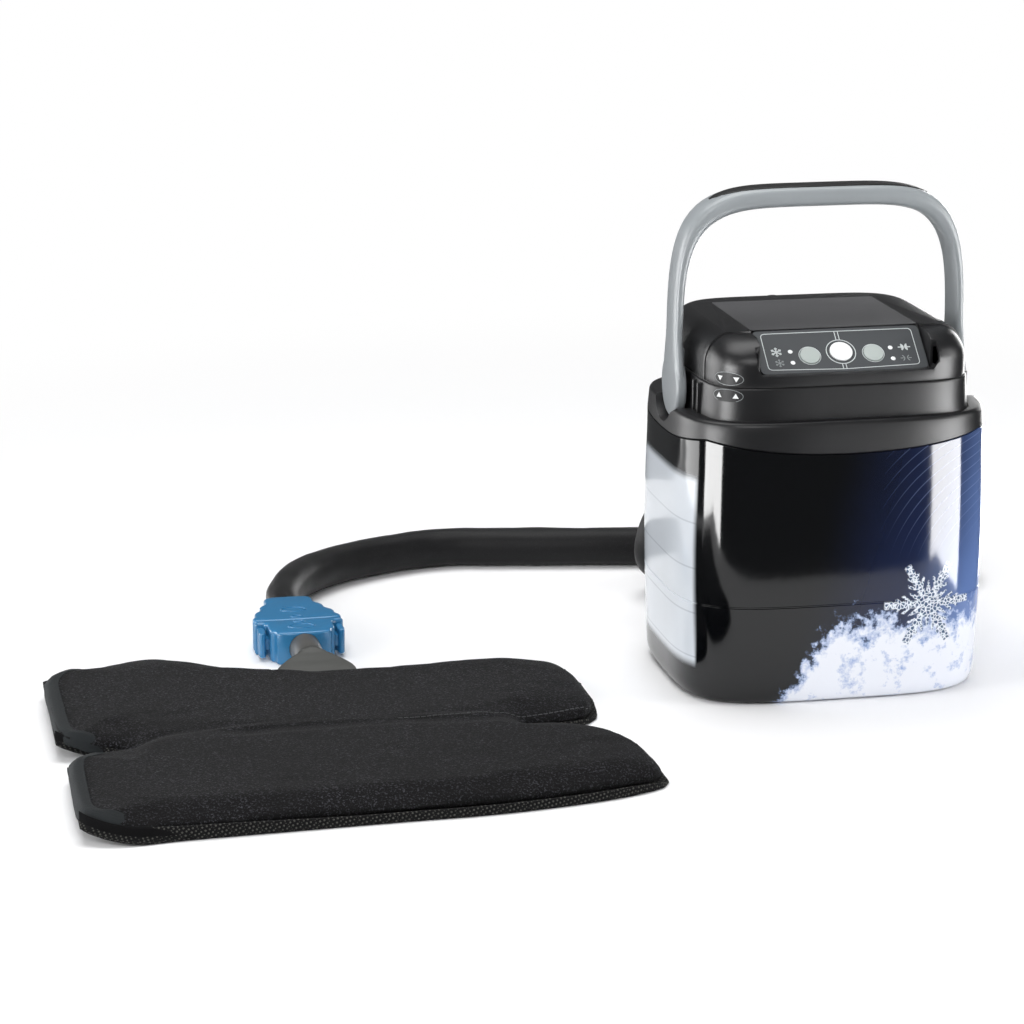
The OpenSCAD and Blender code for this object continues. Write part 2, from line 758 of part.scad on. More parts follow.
module carry_handle() color([0.72, 0.75, 0.77]) {
    difference() {
        union() {
            skin(strap_rings([for (t = [0:6:180]) t], strap_w / 2, 0, 0, 16));
            both_sides() {
                translate([paddle_in, 0, pivot_z]) rotate([0, 90, 0])
                    rotate_extrude()
                        polygon(concat([[0, 0], [paddle_d / 2 - 1, 0], [paddle_d / 2, 1]],
                            [for (s = [0:15:90]) [paddle_d / 2 - 2.5 + 2.5 * cos(s),
                                leg_t - 2.5 + 2.5 * sin(s)]], [[0, leg_t]]));
                // stop lug on the inner face of each leg
                translate([neck_w / 2 + 0.7, 0, pivot_z + 20]) rotate([90, 0, 90])
                    linear_extrude(leg_t - 2) {
                        circle(8);
                        translate([-8, -7]) square([16, 7]);
                    }
            }
        }
        insert_form();
        both_sides() translate([paddle_in - 1, 0, pivot_z])
            rotate([0, 90, 0]) cylinder(r = pin_d / 2 + pin_clear, h = leg_t - 1);
    }
}

module grip_insert() color([0.08, 0.08, 0.08]) insert_form();

// --- hose ----------------------------------------------------------------------------

// points of the hose from the outlet to the coupling; a height of 0 lies on the floor
hose_points = [[0, outlet_end, outlet_z], [0, outlet_end + 20, outlet_z - 1],
    [0, outlet_end + 45, outlet_z - 9], [-2, 172, outlet_z - 25], [-6, 190, outlet_z - 51],
    [-12, 200, 165], [-22, 205, 130], [-42, 206, 90],
    [-62, 204, 58], [-66, 206, 34],
    [-52, 218, 20], [-28, 232, 0], [10, 238, 0], [45, 228, 0], [72, 204, 0],
    [96, 178, 0], [126, 164, 0], [158, 168, 0], [182, 190, 0], [188, 222, 0],
    [172, 252, 0], [140, 270, 0], [90, 279, 0], [30, 286, 0], [-50, 296, 0],
    [-120, 308, 0], [-170, 318, 0], [-208, 325, 0], [-245, 320, 0], [-285, 304, 0],
    [-318, 282, 0], [-345, 252, 0], [-360, 222, 0],
    [coupling_x, coupling_back + 20, 0], [coupling_x, coupling_back, 0]];

// radius of the sleeve at point i, gathered over the last three
function hose_r(i) =
    hose_end_r + (hose_d / 2 - hose_end_r) * min(1, (len(hose_points) - 1 - i) / 3);

hose_route = [for (i = [0:len(hose_points) - 1]) let (p = hose_points[i])
    [p.x, p.y, max(p.z, hose_r(i) + hose_gap)]];

function unit(v) = v / norm(v);

// direction of a route at point i; it leaves and arrives along y
function heading(route, i) =
    let (n = len(route))
    i == 0 ? [0, 1, 0] : i == n - 1 ? [0, -1, 0] : unit(route[i + 1] - route[i - 1]);

// a sideways direction for each point, carried along the route so that the tube doesn't twist
function carried_sides(route, i = 0, last = [1, 0, 0]) =
    i == len(route) ? [] :
    let (d = heading(route, i), side = unit(last - d * (last * d)))
        concat([side], carried_sides(route, i + 1, side));

// rings round the hose's route, each square to the way it runs there
function hose_rings(sides) =
    let (lateral = carried_sides(hose_route))
    [for (i = [0:len(hose_route) - 1])
        let (side = lateral[i], up = cross(side, heading(hose_route, i)), r = hose_r(i))
        [for (k = [0:sides - 1]) let (s = 360 * (k + 0.5) / sides)
            hose_route[i] + side * (r * cos(s)) + up * (r * sin(s))]];

module hose() color([0.15, 0.15, 0.16]) skin(hose_rings(12));

// --- coupling ---------------------------------------------------------------------------

// a flat block from a 2D outline, with its upper and lower edges eased
module eased_block(h, ease = 2) {
    translate([0, 0, ease]) linear_extrude(h - 2 * ease) children();
    linear_extrude(h) offset(delta = -ease) children();
    translate([0, 0, ease / 2]) linear_extrude(h - ease) offset(delta = -ease / 2) children();
}

module wrap_half_outline() offset(r = 2) offset(delta = -2) {
    w = coupling_w / 2;
    polygon([[-w + 14, coupling_front], [w - 14, coupling_front], [w - 12, coupling_front + 9],
        [w - 9, coupling_front + 11], [w - 9, coupling_y - 6], [w, coupling_y - 6],
        [w, coupling_y + 4], [-w, coupling_y + 4], [-w, coupling_y - 6], [-w + 9, coupling_y - 6],
        [-w + 9, coupling_front + 11], [-w + 12, coupling_front + 9]]);
}

module hose_half_outline() offset(r = 2) offset(delta = -2) {
    w = coupling_w / 2;
    polygon([[-w, coupling_y - 4], [w, coupling_y - 4], [w, coupling_y + 9], [w - 3, coupling_y + 13],
        [w - 3, coupling_y + 22], [w - 9, coupling_y + 30], [w - 9, coupling_y + 39],
        [w - 15, coupling_y + 46], [w - 15, coupling_back], [-w + 15, coupling_back],
        [-w + 15, coupling_y + 46], [-w + 9, coupling_y + 39], [-w + 9, coupling_y + 30],
        [-w + 3, coupling_y + 22], [-w + 3, coupling_y + 13], [-w, coupling_y + 9]]);
}

module nipple_places() for (x = [-14, 0, 14]) translate([x, coupling_y, coupling_z]) children();

module hose_coupling() color([0.25, 0.45, 0.62])
    translate([coupling_x, 0, 0]) difference() {
        eased_block(coupling_h) hose_half_outline();
        // face towards the other half
        translate([-60, coupling_y - 20, -1]) cube([120, 20 + seat / 2, 60]);
        nipple_places() rotate([-90, 0, 0]) cylinder(r = nipple_d / 2 + 0.08, h = 15);
    }

module wrap_coupling() color([0.2, 0.5, 0.72])
    translate([coupling_x, 0, 0]) difference() {
        eased_block(coupling_h) wrap_half_outline();
        translate([-60, coupling_y - seat / 2, -1]) cube([120, 20, 60]);
        translate([0, coupling_front - 1, coupling_z]) rotate([-90, 0, 0])
            cylinder(d = tube_d, h = 8);
        nipple_places() rotate([90, 0, 0]) cylinder(d = nipple_d, h = 12);
        // room for the latches' tongues
        both_sides() translate([coupling_w / 2 - 15, latch_y - 5, coupling_z - 4.5])
            cube([20, 10, 9]);
    }

module coupling_nipples() color([0.78, 0.8, 0.82])
    translate([coupling_x, 0, 0]) nipple_places()
        translate([0, -12, 0]) rotate([-90, 0, 0]) difference() {
            cylinder(d = nipple_d, h = 25);
            translate([0, 0, -1]) cylinder(d = nipple_d - 3, h = 40);
        }

// press latch: a ribbed finger pad with a tongue that reaches into the half
module latch() color([0.2, 0.5, 0.72]) {
    w = coupling_w / 2;
    difference() {
        translate([w - 6.4, latch_y - 8.5, 3])
            linear_extrude(coupling_h - 6) offset(r = 1.5) translate([1.5, 1.5]) square([3.8, 14]);
        for (y = [-4.5, -1.5, 1.5, 4.5])
            translate([w + 0.9, latch_y + y, 0]) cylinder(r = 1, h = coupling_h + 2);
    }
    translate([w - 12, latch_y - 5 + loose, coupling_z - 4.5 + loose])
        cube([6, 10 - 2 * loose, 9 - 2 * loose]);
}

module right_latch() translate([coupling_x, 0, 0]) latch();

module left_latch() translate([coupling_x, 0, 0]) mirror([1, 0, 0]) latch();

module wrap_tube() color([0.36, 0.36, 0.34])
    translate([coupling_x, flange_y + 32, coupling_z]) rotate([-90, 0, 0])
        difference() {
            length = coupling_front + 7 - (flange_y + 32);
            cylinder(d = tube_d, h = length);
            translate([0, 0, -1]) cylinder(d = tube_d - 5, h = length + 2);
        }

module flange_form(grow = 0) translate([coupling_x, flange_y, 0]) hull() {
    translate([-29.5 - grow, -grow, 6]) cube([59 + 2 * grow, 4, 8 + grow]);
    translate([-27 - grow, 10, 2.5]) cube([54 + 2 * grow, 4, 15 + grow]);
    translate([-15 - grow, 22, 1]) cube([30 + 2 * grow, 2, 21 + grow]);
}

module wrap_flange() color([0.29, 0.3, 0.28]) {
    flange_form();
    translate([coupling_x, flange_y + 23, coupling_z])
        rotate([-90, 0, 0]) cylinder(d = tube_d + 1.4, h = 9);
}

// --- wrap --------------------------------------------------------------------------------

// edges of the wrap's two bars from left to right, as seen from above, measured from the
// coupling's axis and the flange's front
far_bar_far = [[-208.5, -39], [-197.5, 18], [-170.5, 49], [-121.5, 67], [-79.5, 46], [-27.5, 20],
    [28.5, 11], [93.5, 17], [160.5, 11], [179.5, -3], [190.5, -44]];
far_bar_near = [[-208.5, -92], [-200.5, -127], [-153.5, -132], [-112.5, -132], [-74.5, -138],
    [75.5, -138], [115.5, -133], [152.5, -127], [180.5, -112], [190.5, -88]];
near_bar_far = [[-204.5, -184], [-175.5, -149], [-147.5, -134], [-112.5, -126], [-74.5, -120],
    [75.5, -120], [115.5, -133], [148.5, -144], [172.5, -160], [192.5, -197],
    [200.5, -239]];
near_bar_near = [[-204.5, -246], [-192.5, -289], [-161.5, -297], [-117.5, -293], [11.5, -288],
    [77.5, -286], [145.5, -276], [187.5, -262], [200.5, -249]];

// smooth curve through a table of points, like lookup() with rounded corners
function curve_at(x, table) =
    let (n = len(table), last = n - 2,
        i = max([0, for (k = [0:last]) if (table[k].x <= x) k]),
        p = table[i], q = table[i + 1], before = table[max(0, i - 1)],
        after = table[min(n - 1, i + 2)], w = q.x - p.x, u = min(1, max(0, (x - p.x) / w)),
        m0 = (q.y - before.y) / (q.x - before.x) * w, m1 = (after.y - p.y) / (after.x - p.x) * w)
    (1 + 2 * u) * pow(1 - u, 2) * p.y + u * pow(1 - u, 2) * m0
        + u * u * (3 - 2 * u) * q.y + u * u * (u - 1) * m1;

function placed(table) =
    [for (p = table) [coupling_x + wrap_k * p.x, flange_y + wrap_k * p.y]];

function placed_x(stations) = [for (s = stations) coupling_x + wrap_k * s];

// height of the wrap's underside above the floor, rising towards the left ends
function curl(x) = wrap_curl * pow(max(0, ((coupling_x - x) / wrap_k - 149.5) / 60), 1.6);

// rings of one bar between two stations, with a crown and drawn-in sides
function bar_rings(far, near, stations, base, thick, inset) =
    [for (x = stations)
        let (y1 = curve_at(x, far) - inset, y0 = curve_at(x, near) + inset, middle = (y0 + y1) / 2,
            half = (y1 - y0) / 2)
        [for (k = [0:17]) let (s = 20 * k, crown = 1 + 0.16 * cos(s) * cos(s) - 0.16)
            [x, middle + half * spow(cos(s), 0.55),
                base + curl(x) + thick / 2 + thick / 2 * spow(sin(s), 0.35)
                    * (sin(s) > 0 ? 1.12 - 0.3 * pow(abs(cos(s)), 2) : 1)]]];

far_stations = [-200.5, -189.5, -174.5, -154.5, -121.5, -100.5, -79.5, -54.5, -27.5, 0.5, 28.5,
    60.5, 93.5, 125.5, 152.5, 169.5, 179.5, 186.5, 190.5];
near_stations = [-196.5, -186.5, -175.5, -161.5, -147.5, -129.5, -112.5, -94.5, -74.5, -34.5, 5.5,
    45.5, 75.5, 95.5, 115.5, 135.5, 148.5, 160.5, 172.5, 182.5, 192.5, 197.5, 200.5];

// where each bar's padding begins at its bound left end
far_left = coupling_x + wrap_k * far_stations[0];
near_left = coupling_x + wrap_k * near_stations[0];

module far_bar(xs, base, thick, inset)
    skin(bar_rings(placed(far_bar_far), placed(far_bar_near), xs, base, thick, inset));

module near_bar(xs, base, thick, inset)
    skin(bar_rings(placed(near_bar_far), placed(near_bar_near), xs, base, thick, inset));

module wrap_bars(base, thick, inset) {
    far_bar(placed_x(far_stations), base, thick, inset);
    near_bar(placed_x(near_stations), base, thick, inset);
}

// two flat air and water chambers, one in each bar
module bladder_form() translate([coupling_x, flange_y, lining_t + wrap_t * 0.35])
    linear_extrude(bladder_t) scale(wrap_k)
        for (y = [[-110, -14], [-262, -152]])
            translate([bladder_left, y[0]]) offset(r = bladder_r) translate([bladder_r, bladder_r])
                square([bladder_l, y[1] - y[0] - 2 * bladder_r]);

module wrap_cover() color([0.11, 0.11, 0.12])
    difference() {
        wrap_bars(1.06 * lining_t + seat, wrap_t, 0);
        bladder_form();
        flange_form(seat);
    }

module wrap_bladder() color([0.2, 0.22, 0.3]) bladder_form();

module wrap_lining() color([0.2, 0.21, 0.22])
    difference() {
        wrap_bars(0, lining_t, 2.5);
        flange_form(seat);
    }

module wrap_hem() color([0.23, 0.27, 0.29]) {
    far_bar([far_left - hem_w, far_left - hem_w / 2, far_left - seat], lining_t, wrap_t, -0.5);
    near_bar([near_left - hem_w, near_left - hem_w / 2, near_left - seat], lining_t, wrap_t, -0.5);
}

outer_shell();
insulation_foam();
ice_tub();
neck_collar();
base_pad();
left_pivot_pin();
right_pivot_pin();
hose();
hose_coupling();
lid_base();
lid_cover();
control_panel();
indicator_lights();
top_label();
lid_seal();
circuit_board();
key_switches();
water_pump_motor();
pump_volute();
suction_tube();
pump_filter();
air_pump_motor();
air_pump_head();
valve_block();
water_line();
air_line();
hose_outlet();
power_jack();
lid_screws();
pump_impeller();
air_pump_cam();
cold_key();
power_key();
compression_key();
carry_handle();
grip_insert();
wrap_coupling();
coupling_nipples();
wrap_tube();
wrap_flange();
wrap_cover();
wrap_bladder();
wrap_lining();
wrap_hem();
left_latch();
right_latch();
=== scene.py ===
from functools import partial
from math import acos, asin, copysign, cos, exp, pi, radians, sin, sqrt

import bpy
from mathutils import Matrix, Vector, noise


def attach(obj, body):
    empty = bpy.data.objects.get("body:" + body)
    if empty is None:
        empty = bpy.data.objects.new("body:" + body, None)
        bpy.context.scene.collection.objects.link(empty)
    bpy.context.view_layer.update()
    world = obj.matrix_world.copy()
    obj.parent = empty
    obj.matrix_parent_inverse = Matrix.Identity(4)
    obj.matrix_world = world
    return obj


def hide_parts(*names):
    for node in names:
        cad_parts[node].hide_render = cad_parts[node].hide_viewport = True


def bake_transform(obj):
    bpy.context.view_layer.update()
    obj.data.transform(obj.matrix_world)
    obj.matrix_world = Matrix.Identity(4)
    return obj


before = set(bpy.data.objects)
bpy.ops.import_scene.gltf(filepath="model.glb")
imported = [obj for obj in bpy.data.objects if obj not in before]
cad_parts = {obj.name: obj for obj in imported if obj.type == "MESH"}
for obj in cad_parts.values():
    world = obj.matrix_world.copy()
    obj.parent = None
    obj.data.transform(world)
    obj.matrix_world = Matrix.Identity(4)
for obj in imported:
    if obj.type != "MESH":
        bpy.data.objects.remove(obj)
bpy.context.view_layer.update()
mm = 0.001
print("frame loaded")

# small helpers


def linearColour(text):  # sRGB hex to linear
    parts = [int(text[i:i + 2], 16) / 255 for i in (0, 2, 4)]
    return tuple(v / 12.92 if v <= 0.04045 else ((v + 0.055) / 1.055) ** 2.4 for v in parts) + (1.0,)


def setInputs(node, inputs):  # each gets a value, or a link from a socket or from a node's first live output
    for key, value in inputs.items():
        if isinstance(value, bpy.types.Node):
            value = next(socket for socket in value.outputs if socket.enabled)
        if isinstance(value, bpy.types.NodeSocket):
            node.id_data.links.new(value, node.inputs[key])
        else:
            node.inputs[key].default_value = value


def addNode(tree, kind, inputs=None, **settings):
    node = tree.nodes.new("ShaderNode" + kind)
    for key, value in settings.items():
        setattr(node, key, value)
    setInputs(node, inputs or {})
    return node


def newMaterial(name, inputs):  # a material, what adds its nodes, and its shader
    material = bpy.data.materials.new(name)
    material.use_nodes = True
    shader = material.node_tree.nodes["Principled BSDF"]
    setInputs(shader, inputs)
    return material, partial(addNode, material.node_tree), shader


def deselectAll():
    if bpy.context.object and bpy.context.object.mode != "OBJECT":
        bpy.ops.object.mode_set(mode="OBJECT")
    bpy.ops.object.select_all(action="DESELECT")


def choose(piece):
    deselectAll()
    piece.select_set(True)
    bpy.context.view_layer.objects.active = piece


def applyPlace(piece):
    choose(piece)
    bpy.ops.object.transform_apply(location=True, rotation=True, scale=True)


def addModifier(piece, kind, **settings):
    modifier = piece.modifiers.new(kind.lower(), kind)
    for key, value in settings.items():
        setattr(modifier, key, value)
    choose(piece)
    bpy.ops.object.modifier_apply(modifier=modifier.name)


def bevel(piece, width, segments, angle=None, **settings):
    if angle:
        settings.update(limit_method="ANGLE", angle_limit=radians(angle))
    addModifier(piece, "BEVEL", width=width * mm, segments=segments, **settings)


def boolean(piece, tool, operation="DIFFERENCE"):
    addModifier(piece, "BOOLEAN", operation=operation, solver="EXACT", object=tool)
    bpy.data.objects.remove(tool)


def smooth(piece, angle):
    choose(piece)
    bpy.ops.object.shade_smooth_by_angle(angle=radians(angle))


def mergeAndFill(piece, fill=True):
    choose(piece)
    bpy.ops.object.mode_set(mode="EDIT")
    bpy.ops.mesh.select_all(action="SELECT")
    bpy.ops.mesh.remove_doubles(threshold=1e-6)
    if fill:
        bpy.ops.mesh.fill_holes(sides=0)
    bpy.ops.mesh.select_all(action="SELECT")
    bpy.ops.mesh.normals_make_consistent(inside=False)
    bpy.ops.object.mode_set(mode="OBJECT")


# a grid whose rows are laid on rings of points (mm), sewn into a tube; ring = True sews the ends too
def loft(name, rings, ring=False, fill=True):
    rows = [list(r) + [r[0]] for r in rings]
    if ring:
        rows.append(rows[0])
    deselectAll()
    bpy.ops.mesh.primitive_grid_add(x_subdivisions=len(rows[0]) - 1, y_subdivisions=len(rows) - 1)
    piece = bpy.context.object
    piece.name = piece.data.name = name
    piece.data.vertices.foreach_set("co", [c * mm for row in rows for p in row for c in p])
    mergeAndFill(piece, fill and not ring)
    return piece


def join(name, first, *others):
    choose(first)
    for other in others:
        other.select_set(True)
    bpy.ops.object.join()
    first.name = name
    return first


def finishPiece(piece, body, material, replaced=(), angle=None):
    if angle:
        smooth(piece, angle)
    piece.data.materials.clear()
    piece.data.materials.append(material)
    if body:
        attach(piece, body)
    if replaced:
        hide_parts(*replaced)
    return piece


def box(name, low, high):  # between two corners in mm
    bpy.ops.mesh.primitive_cube_add(size=1, location=[(a + b) / 2 * mm for a, b in zip(low, high)],
                                    scale=[(b - a) * mm for a, b in zip(low, high)])
    bpy.context.object.name = name
    return bpy.context.object


alongX, alongY = (0, pi / 2, 0), (pi / 2, 0, 0)


def cylinder(middle, radius, depth, turn=(0, 0, 0), vertices=48):  # upright unless turned, in mm
    bpy.ops.mesh.primitive_cylinder_add(vertices=vertices, radius=radius * mm, depth=depth * mm,
                                        location=[c * mm for c in middle], rotation=turn)
    return bpy.context.object


def signedPower(v, p):
    return copysign(abs(v) ** p, v)


def squareRound(a, b, squareness, steps):  # outline of a rounded box, or of an ellipse at 2
    turns = [2 * pi * i / steps for i in range(steps)]
    return [(a * signedPower(cos(t), 2 / squareness), b * signedPower(sin(t), 2 / squareness))
            for t in turns]


def quarter(h, reach, height):  # drop of a quarter ellipse at h above its foot
    return 0 if h <= 0 else reach * (1 - sqrt(max(0, 1 - min(h / height, 1) ** 2)))


def easeStep(v, low, high):
    u = min(1, max(0, (v - low) / (high - low)))
    return u * u * (3 - 2 * u)


def smoothThrough(points, each):  # points of a smooth curve through the given ones
    out = []
    last = len(points) - 1
    for i in range(last):
        p0, p1, p2, p3 = (Vector(points[min(max(k, 0), last)]) for k in (i - 1, i, i + 1, i + 2))
        for k in range(each):
            t = k / each
            out.append(0.5 * (2 * p1 + (p2 - p0) * t + (2 * p0 - 5 * p1 + 4 * p2 - p3) * t * t
                              + (3 * p1 - p0 - 3 * p2 + p3) * t ** 3))
    return out + [Vector(points[-1])]


# camera, light and floor

view = {"place": (-0.6762, -2.1828, 0.7098), "tilt": 75.4, "turn": -11.7, "lens": 112.5}
bpy.ops.object.camera_add(location=view["place"],
                          rotation=(radians(view["tilt"]), 0, radians(view["turn"])))
camera = bpy.context.object
camera.data.lens = view["lens"]
camera.data.sensor_width = 36
camera.data.clip_end = 100
scene = bpy.context.scene
scene.camera = camera
scene.view_settings.view_transform = "Standard"

lamps = {
    "overhead": {"place": (-0.3, 0.5, 2.6), "size": (2.4, 1.8), "power": 58, "aim": (0, 0, 0)},
    "front": {"place": (-0.9, -3.0, 2.2), "size": (1.6, 1.2), "power": 42, "aim": (-0.1, 0, 0.1)},
    "leftFill": {"place": (-2.3, -0.7, 0.9), "size": (0.9, 1.5), "power": 24, "aim": (0, 0, 0.15)},
    "rightFill": {"place": (2.0, -0.9, 0.9), "size": (0.9, 1.5), "power": 24, "aim": (0, 0, 0.15)},
    # tall bands, drawn only in glossy faces: they reach below the table's edge as in the photo
    "leftBand": {"place": (-2.31, -1.13, -0.55), "size": (1.55, 2.0), "power": 190, "aim": (-0.08, -0.07, -0.55),
                 "glossOnly": True},
    "rightBand": {"place": (1.95, -1.76, -0.50), "size": (1.35, 1.9), "power": 150, "aim": (0.08, -0.08, -0.50),
                  "glossOnly": True},
    "backLeft": {"place": (-2.3, 1.3, -0.2), "size": (2.2, 2.4), "power": 95, "aim": (-0.1, 0, -0.2),
                 "glossOnly": True},
    "backRight": {"place": (1.6, 2.2, -0.4), "size": (1.2, 2.2), "power": 70, "aim": (0.08, 0.08, -0.4),
                  "glossOnly": True},
}
for name, lamp in lamps.items():
    bpy.ops.object.light_add(type="AREA", location=lamp["place"])
    light = bpy.context.object
    light.name = name
    light.visible_camera = False
    light.data.shape = "RECTANGLE"
    light.data.size, light.data.size_y = lamp["size"]
    light.data.energy = lamp["power"]
    light.visible_diffuse = not lamp.get("glossOnly", False)
    aim = Vector(lamp["aim"]) - Vector(lamp["place"])
    light.rotation_euler = aim.to_track_quat("-Z", "Y").to_euler()

world = bpy.data.worlds.new("paleRoom")
scene.world = world
world.use_nodes = True
world.node_tree.nodes["Background"].inputs[0].default_value = linearColour("f2f4f6")
world.node_tree.nodes["Background"].inputs[1].default_value = 0.12

bpy.ops.mesh.primitive_plane_add(size=40)
floor = bpy.context.object
floor.name = "paleFloor"
paper, add, paperShader = newMaterial("whitePaperRoll", {"Base Color": linearColour("f9f9fa"), "Roughness": 0.9,
                                                         "Specular IOR Level": 0.1})
# far from the set the paper is plain white to the eye and in mirrors; near it, it keeps its shadows
reach = add("VectorMath", {0: add("TexCoord").outputs["Object"]}, operation="LENGTH")
far = add("MapRange", {"Value": reach, "From Min": 0.5, "From Max": 1.4}, interpolation_type="SMOOTHSTEP")
ray = add("LightPath").outputs
seen = add("Math", {0: ray["Is Camera Ray"], 1: ray["Is Glossy Ray"]}, operation="MAXIMUM")
seen = add("Math", {0: seen, 1: ray["Is Transmission Ray"]}, operation="MAXIMUM")
mask = add("Math", {0: seen, 1: far}, operation="MULTIPLY")
mix = add("MixShader", {0: mask, 1: paperShader, 2: add("Emission", {"Strength": 1.0})})
setInputs(paper.node_tree.nodes["Material Output"], {0: mix})
floor.data.materials.append(paper)
# gloss looks past the wide paper into the dim room; only a table-sized sheet shows in it, as in the photo
floor.visible_glossy = False
bpy.ops.mesh.primitive_plane_add(size=1, location=(-0.2, 0.1, 0.0003), scale=(1.3, 1.0, 1))
table = bpy.context.object
table.name = "tableSheet"
table.data.materials.append(paper)
table.visible_camera = table.visible_diffuse = table.visible_shadow = False
# the same white paper far behind, for low views
bpy.ops.mesh.primitive_cylinder_add(vertices=64, radius=18, depth=20, end_fill_type="NOTHING", location=(0, 0, 9.9))
wall = bpy.context.object
wall.name = "farPaper"
wall.data.materials.append(paper)
wall.visible_diffuse = wall.visible_glossy = wall.visible_shadow = False
print("camera, lamps and floor ready")

# materials


# a moulded or drawn material: fine grain in the bump, soft mottling in colour and gloss
def makeMaterial(name, colour, rough=0.4, grain=0.5, bump=0.1, metallic=0.0, mottle=0.08, coat=0.0, sheen=0.0,
                 specular=0.5, stretch=(1, 1, 1)):
    material, add, shader = newMaterial(name, {
        "Metallic": metallic, "IOR": 1.5, "Specular IOR Level": specular, "Coat Weight": coat,
        "Coat Roughness": 0.08, "Sheen Weight": sheen})
    here = add("TexCoord").outputs["Object"]
    scaled = add("Mapping", {"Vector": here, "Scale": stretch})
    fine = add("TexNoise", {"Vector": scaled, "Scale": 1 / (grain * mm), "Detail": 3.0})
    wide = add("TexNoise", {"Vector": here, "Scale": 18.0, "Detail": 4.0})
    base = linearColour(colour)
    lighter = tuple(min(1, c * (1 + 2.2 * mottle) + 0.004) for c in base[:3]) + (1,)
    setInputs(shader, {
        "Base Color": add("Mix", {0: wide, 6: base, 7: lighter}, data_type="RGBA"),
        "Roughness": add("MapRange", {"Value": wide, "To Min": rough * 0.86, "To Max": rough * 1.16}),
        "Normal": add("Bump", {"Height": fine, "Strength": bump, "Distance": grain * mm * 0.4})})
    return material


# colour, roughness, grain in mm, strength of its bump, and what else sets it apart
finishes = {
    # injection-moulded ABS with a fine spark texture: satin black that lights up softly at bends
    "mouldedBlackAbs": ("121214", 0.36, 0.55, 0.3, dict(specular=0.4)),
    # silver-grey ABS, moulded smooth: broad soft highlights along the strap
    "mouldedSilverAbs": ("8f9497", 0.33, 0.4, 0.06),
    # soft-touch TPE grip: nearly black and dull
    "overmouldedTpe": ("0b0b0c", 0.5, 0.5, 0.2, dict(specular=0.35)),
    # polyester label film, screen printed from behind: dark grey with a pebbled sheen
    "printedLabelFilm": ("48484a", 0.42, 0.7, 0.3, dict(specular=0.4)),
    "printedPanelFilm": ("3c3f42", 0.44, 0.35, 0.15, dict(specular=0.4)),
    "inkBlack": ("101113", 0.5, 0.3, 0.05, dict(specular=0.3)),
    # silicone rubber keys: matt with a little bloom
    "castGreySilicone": ("a7afac", 0.55, 0.3, 0.1),
    "castWhiteSilicone": ("e9ebeb", 0.5, 0.3, 0.08),
    "inkPaleGrey": ("c3c9c9", 0.5, 0.3, 0.05),
    "inkDimGrey": ("84898a", 0.5, 0.3, 0.05),
    "diffusingLens": ("f3f6f8", 0.25, 0.4, 0.03, dict(coat=0.4)),
    # glossy blue ABS of the coupling: polished tool, thin highlights on its bevels
    "polishedBlueAbs": ("2a73a2", 0.3, 1.2, 0.06, dict(coat=0.2)),
    "extrudedGreyPvc": ("4b4a48", 0.42, 0.8, 0.12, dict(stretch=(1, 0.2, 1))),
    "mouldedGreyRubber": ("343532", 0.55, 0.5, 0.25),
    "blackEpdmRubber": ("0b0b0c", 0.7, 0.4, 0.3),
    # closed-cell foam and the vacuum-formed tub inside
    "foamedPolyurethane": ("e3dcc2", 0.85, 1.4, 0.6),
    "vacuumFormedHips": ("dfe4e6", 0.38, 2.0, 0.05, dict(coat=0.1)),
    "turnedStainlessSteel": ("b9bdc1", 0.26, 0.25, 0.1, dict(metallic=1.0, stretch=(1, 1, 8))),
    "zincPlatedSteel": ("a3a8ac", 0.34, 0.3, 0.1, dict(metallic=1.0)),
    "paintedMotorSteel": ("23262b", 0.36, 0.6, 0.15),
    "mouldedPolypropylene": ("2e3138", 0.4, 0.6, 0.1),
    "naturalAcetal": ("e6e4da", 0.35, 0.6, 0.05),
    "clearedSilicone": ("cfd9e0", 0.28, 1.0, 0.05, dict(coat=0.3)),
    "solderMaskGreen": ("17532d", 0.3, 0.6, 0.2, dict(coat=0.3)),
    "wovenFilterNylon": ("1e3f66", 0.6, 0.4, 0.5),
    # woven polyester binding: a little lighter and bluer than the pad
    "wovenBindingTape": ("14181a", 0.85, 1.1, 0.6, dict(mottle=0.2, sheen=0.03, specular=0.2)),
    "weldedPolyurethaneFilm": ("2b3148", 0.4, 2.0, 0.1),
    # bonded polyester thread, a touch lighter than the cloth it holds
    "bondedThread": ("2a2b2d", 0.6, 0.4, 0.3),
    # painted shade: a near-black sheet, darker than the cloth, laid in the gaping mouth of each bar's sleeve where the
    # recess lies in shade
    "paintedMouthShade": ("050506", 0.95, 0.8, 0.3, dict(specular=0.1)),
    "turnedBrass": ("c9a75c", 0.28, 0.25, 0.1, dict(metallic=1.0, stretch=(1, 1, 8))),
}
materials = {name: makeMaterial(name, *row[:4], **dict(*row[4:])) for name, row in finishes.items()}
print("plain materials ready:", len(materials))


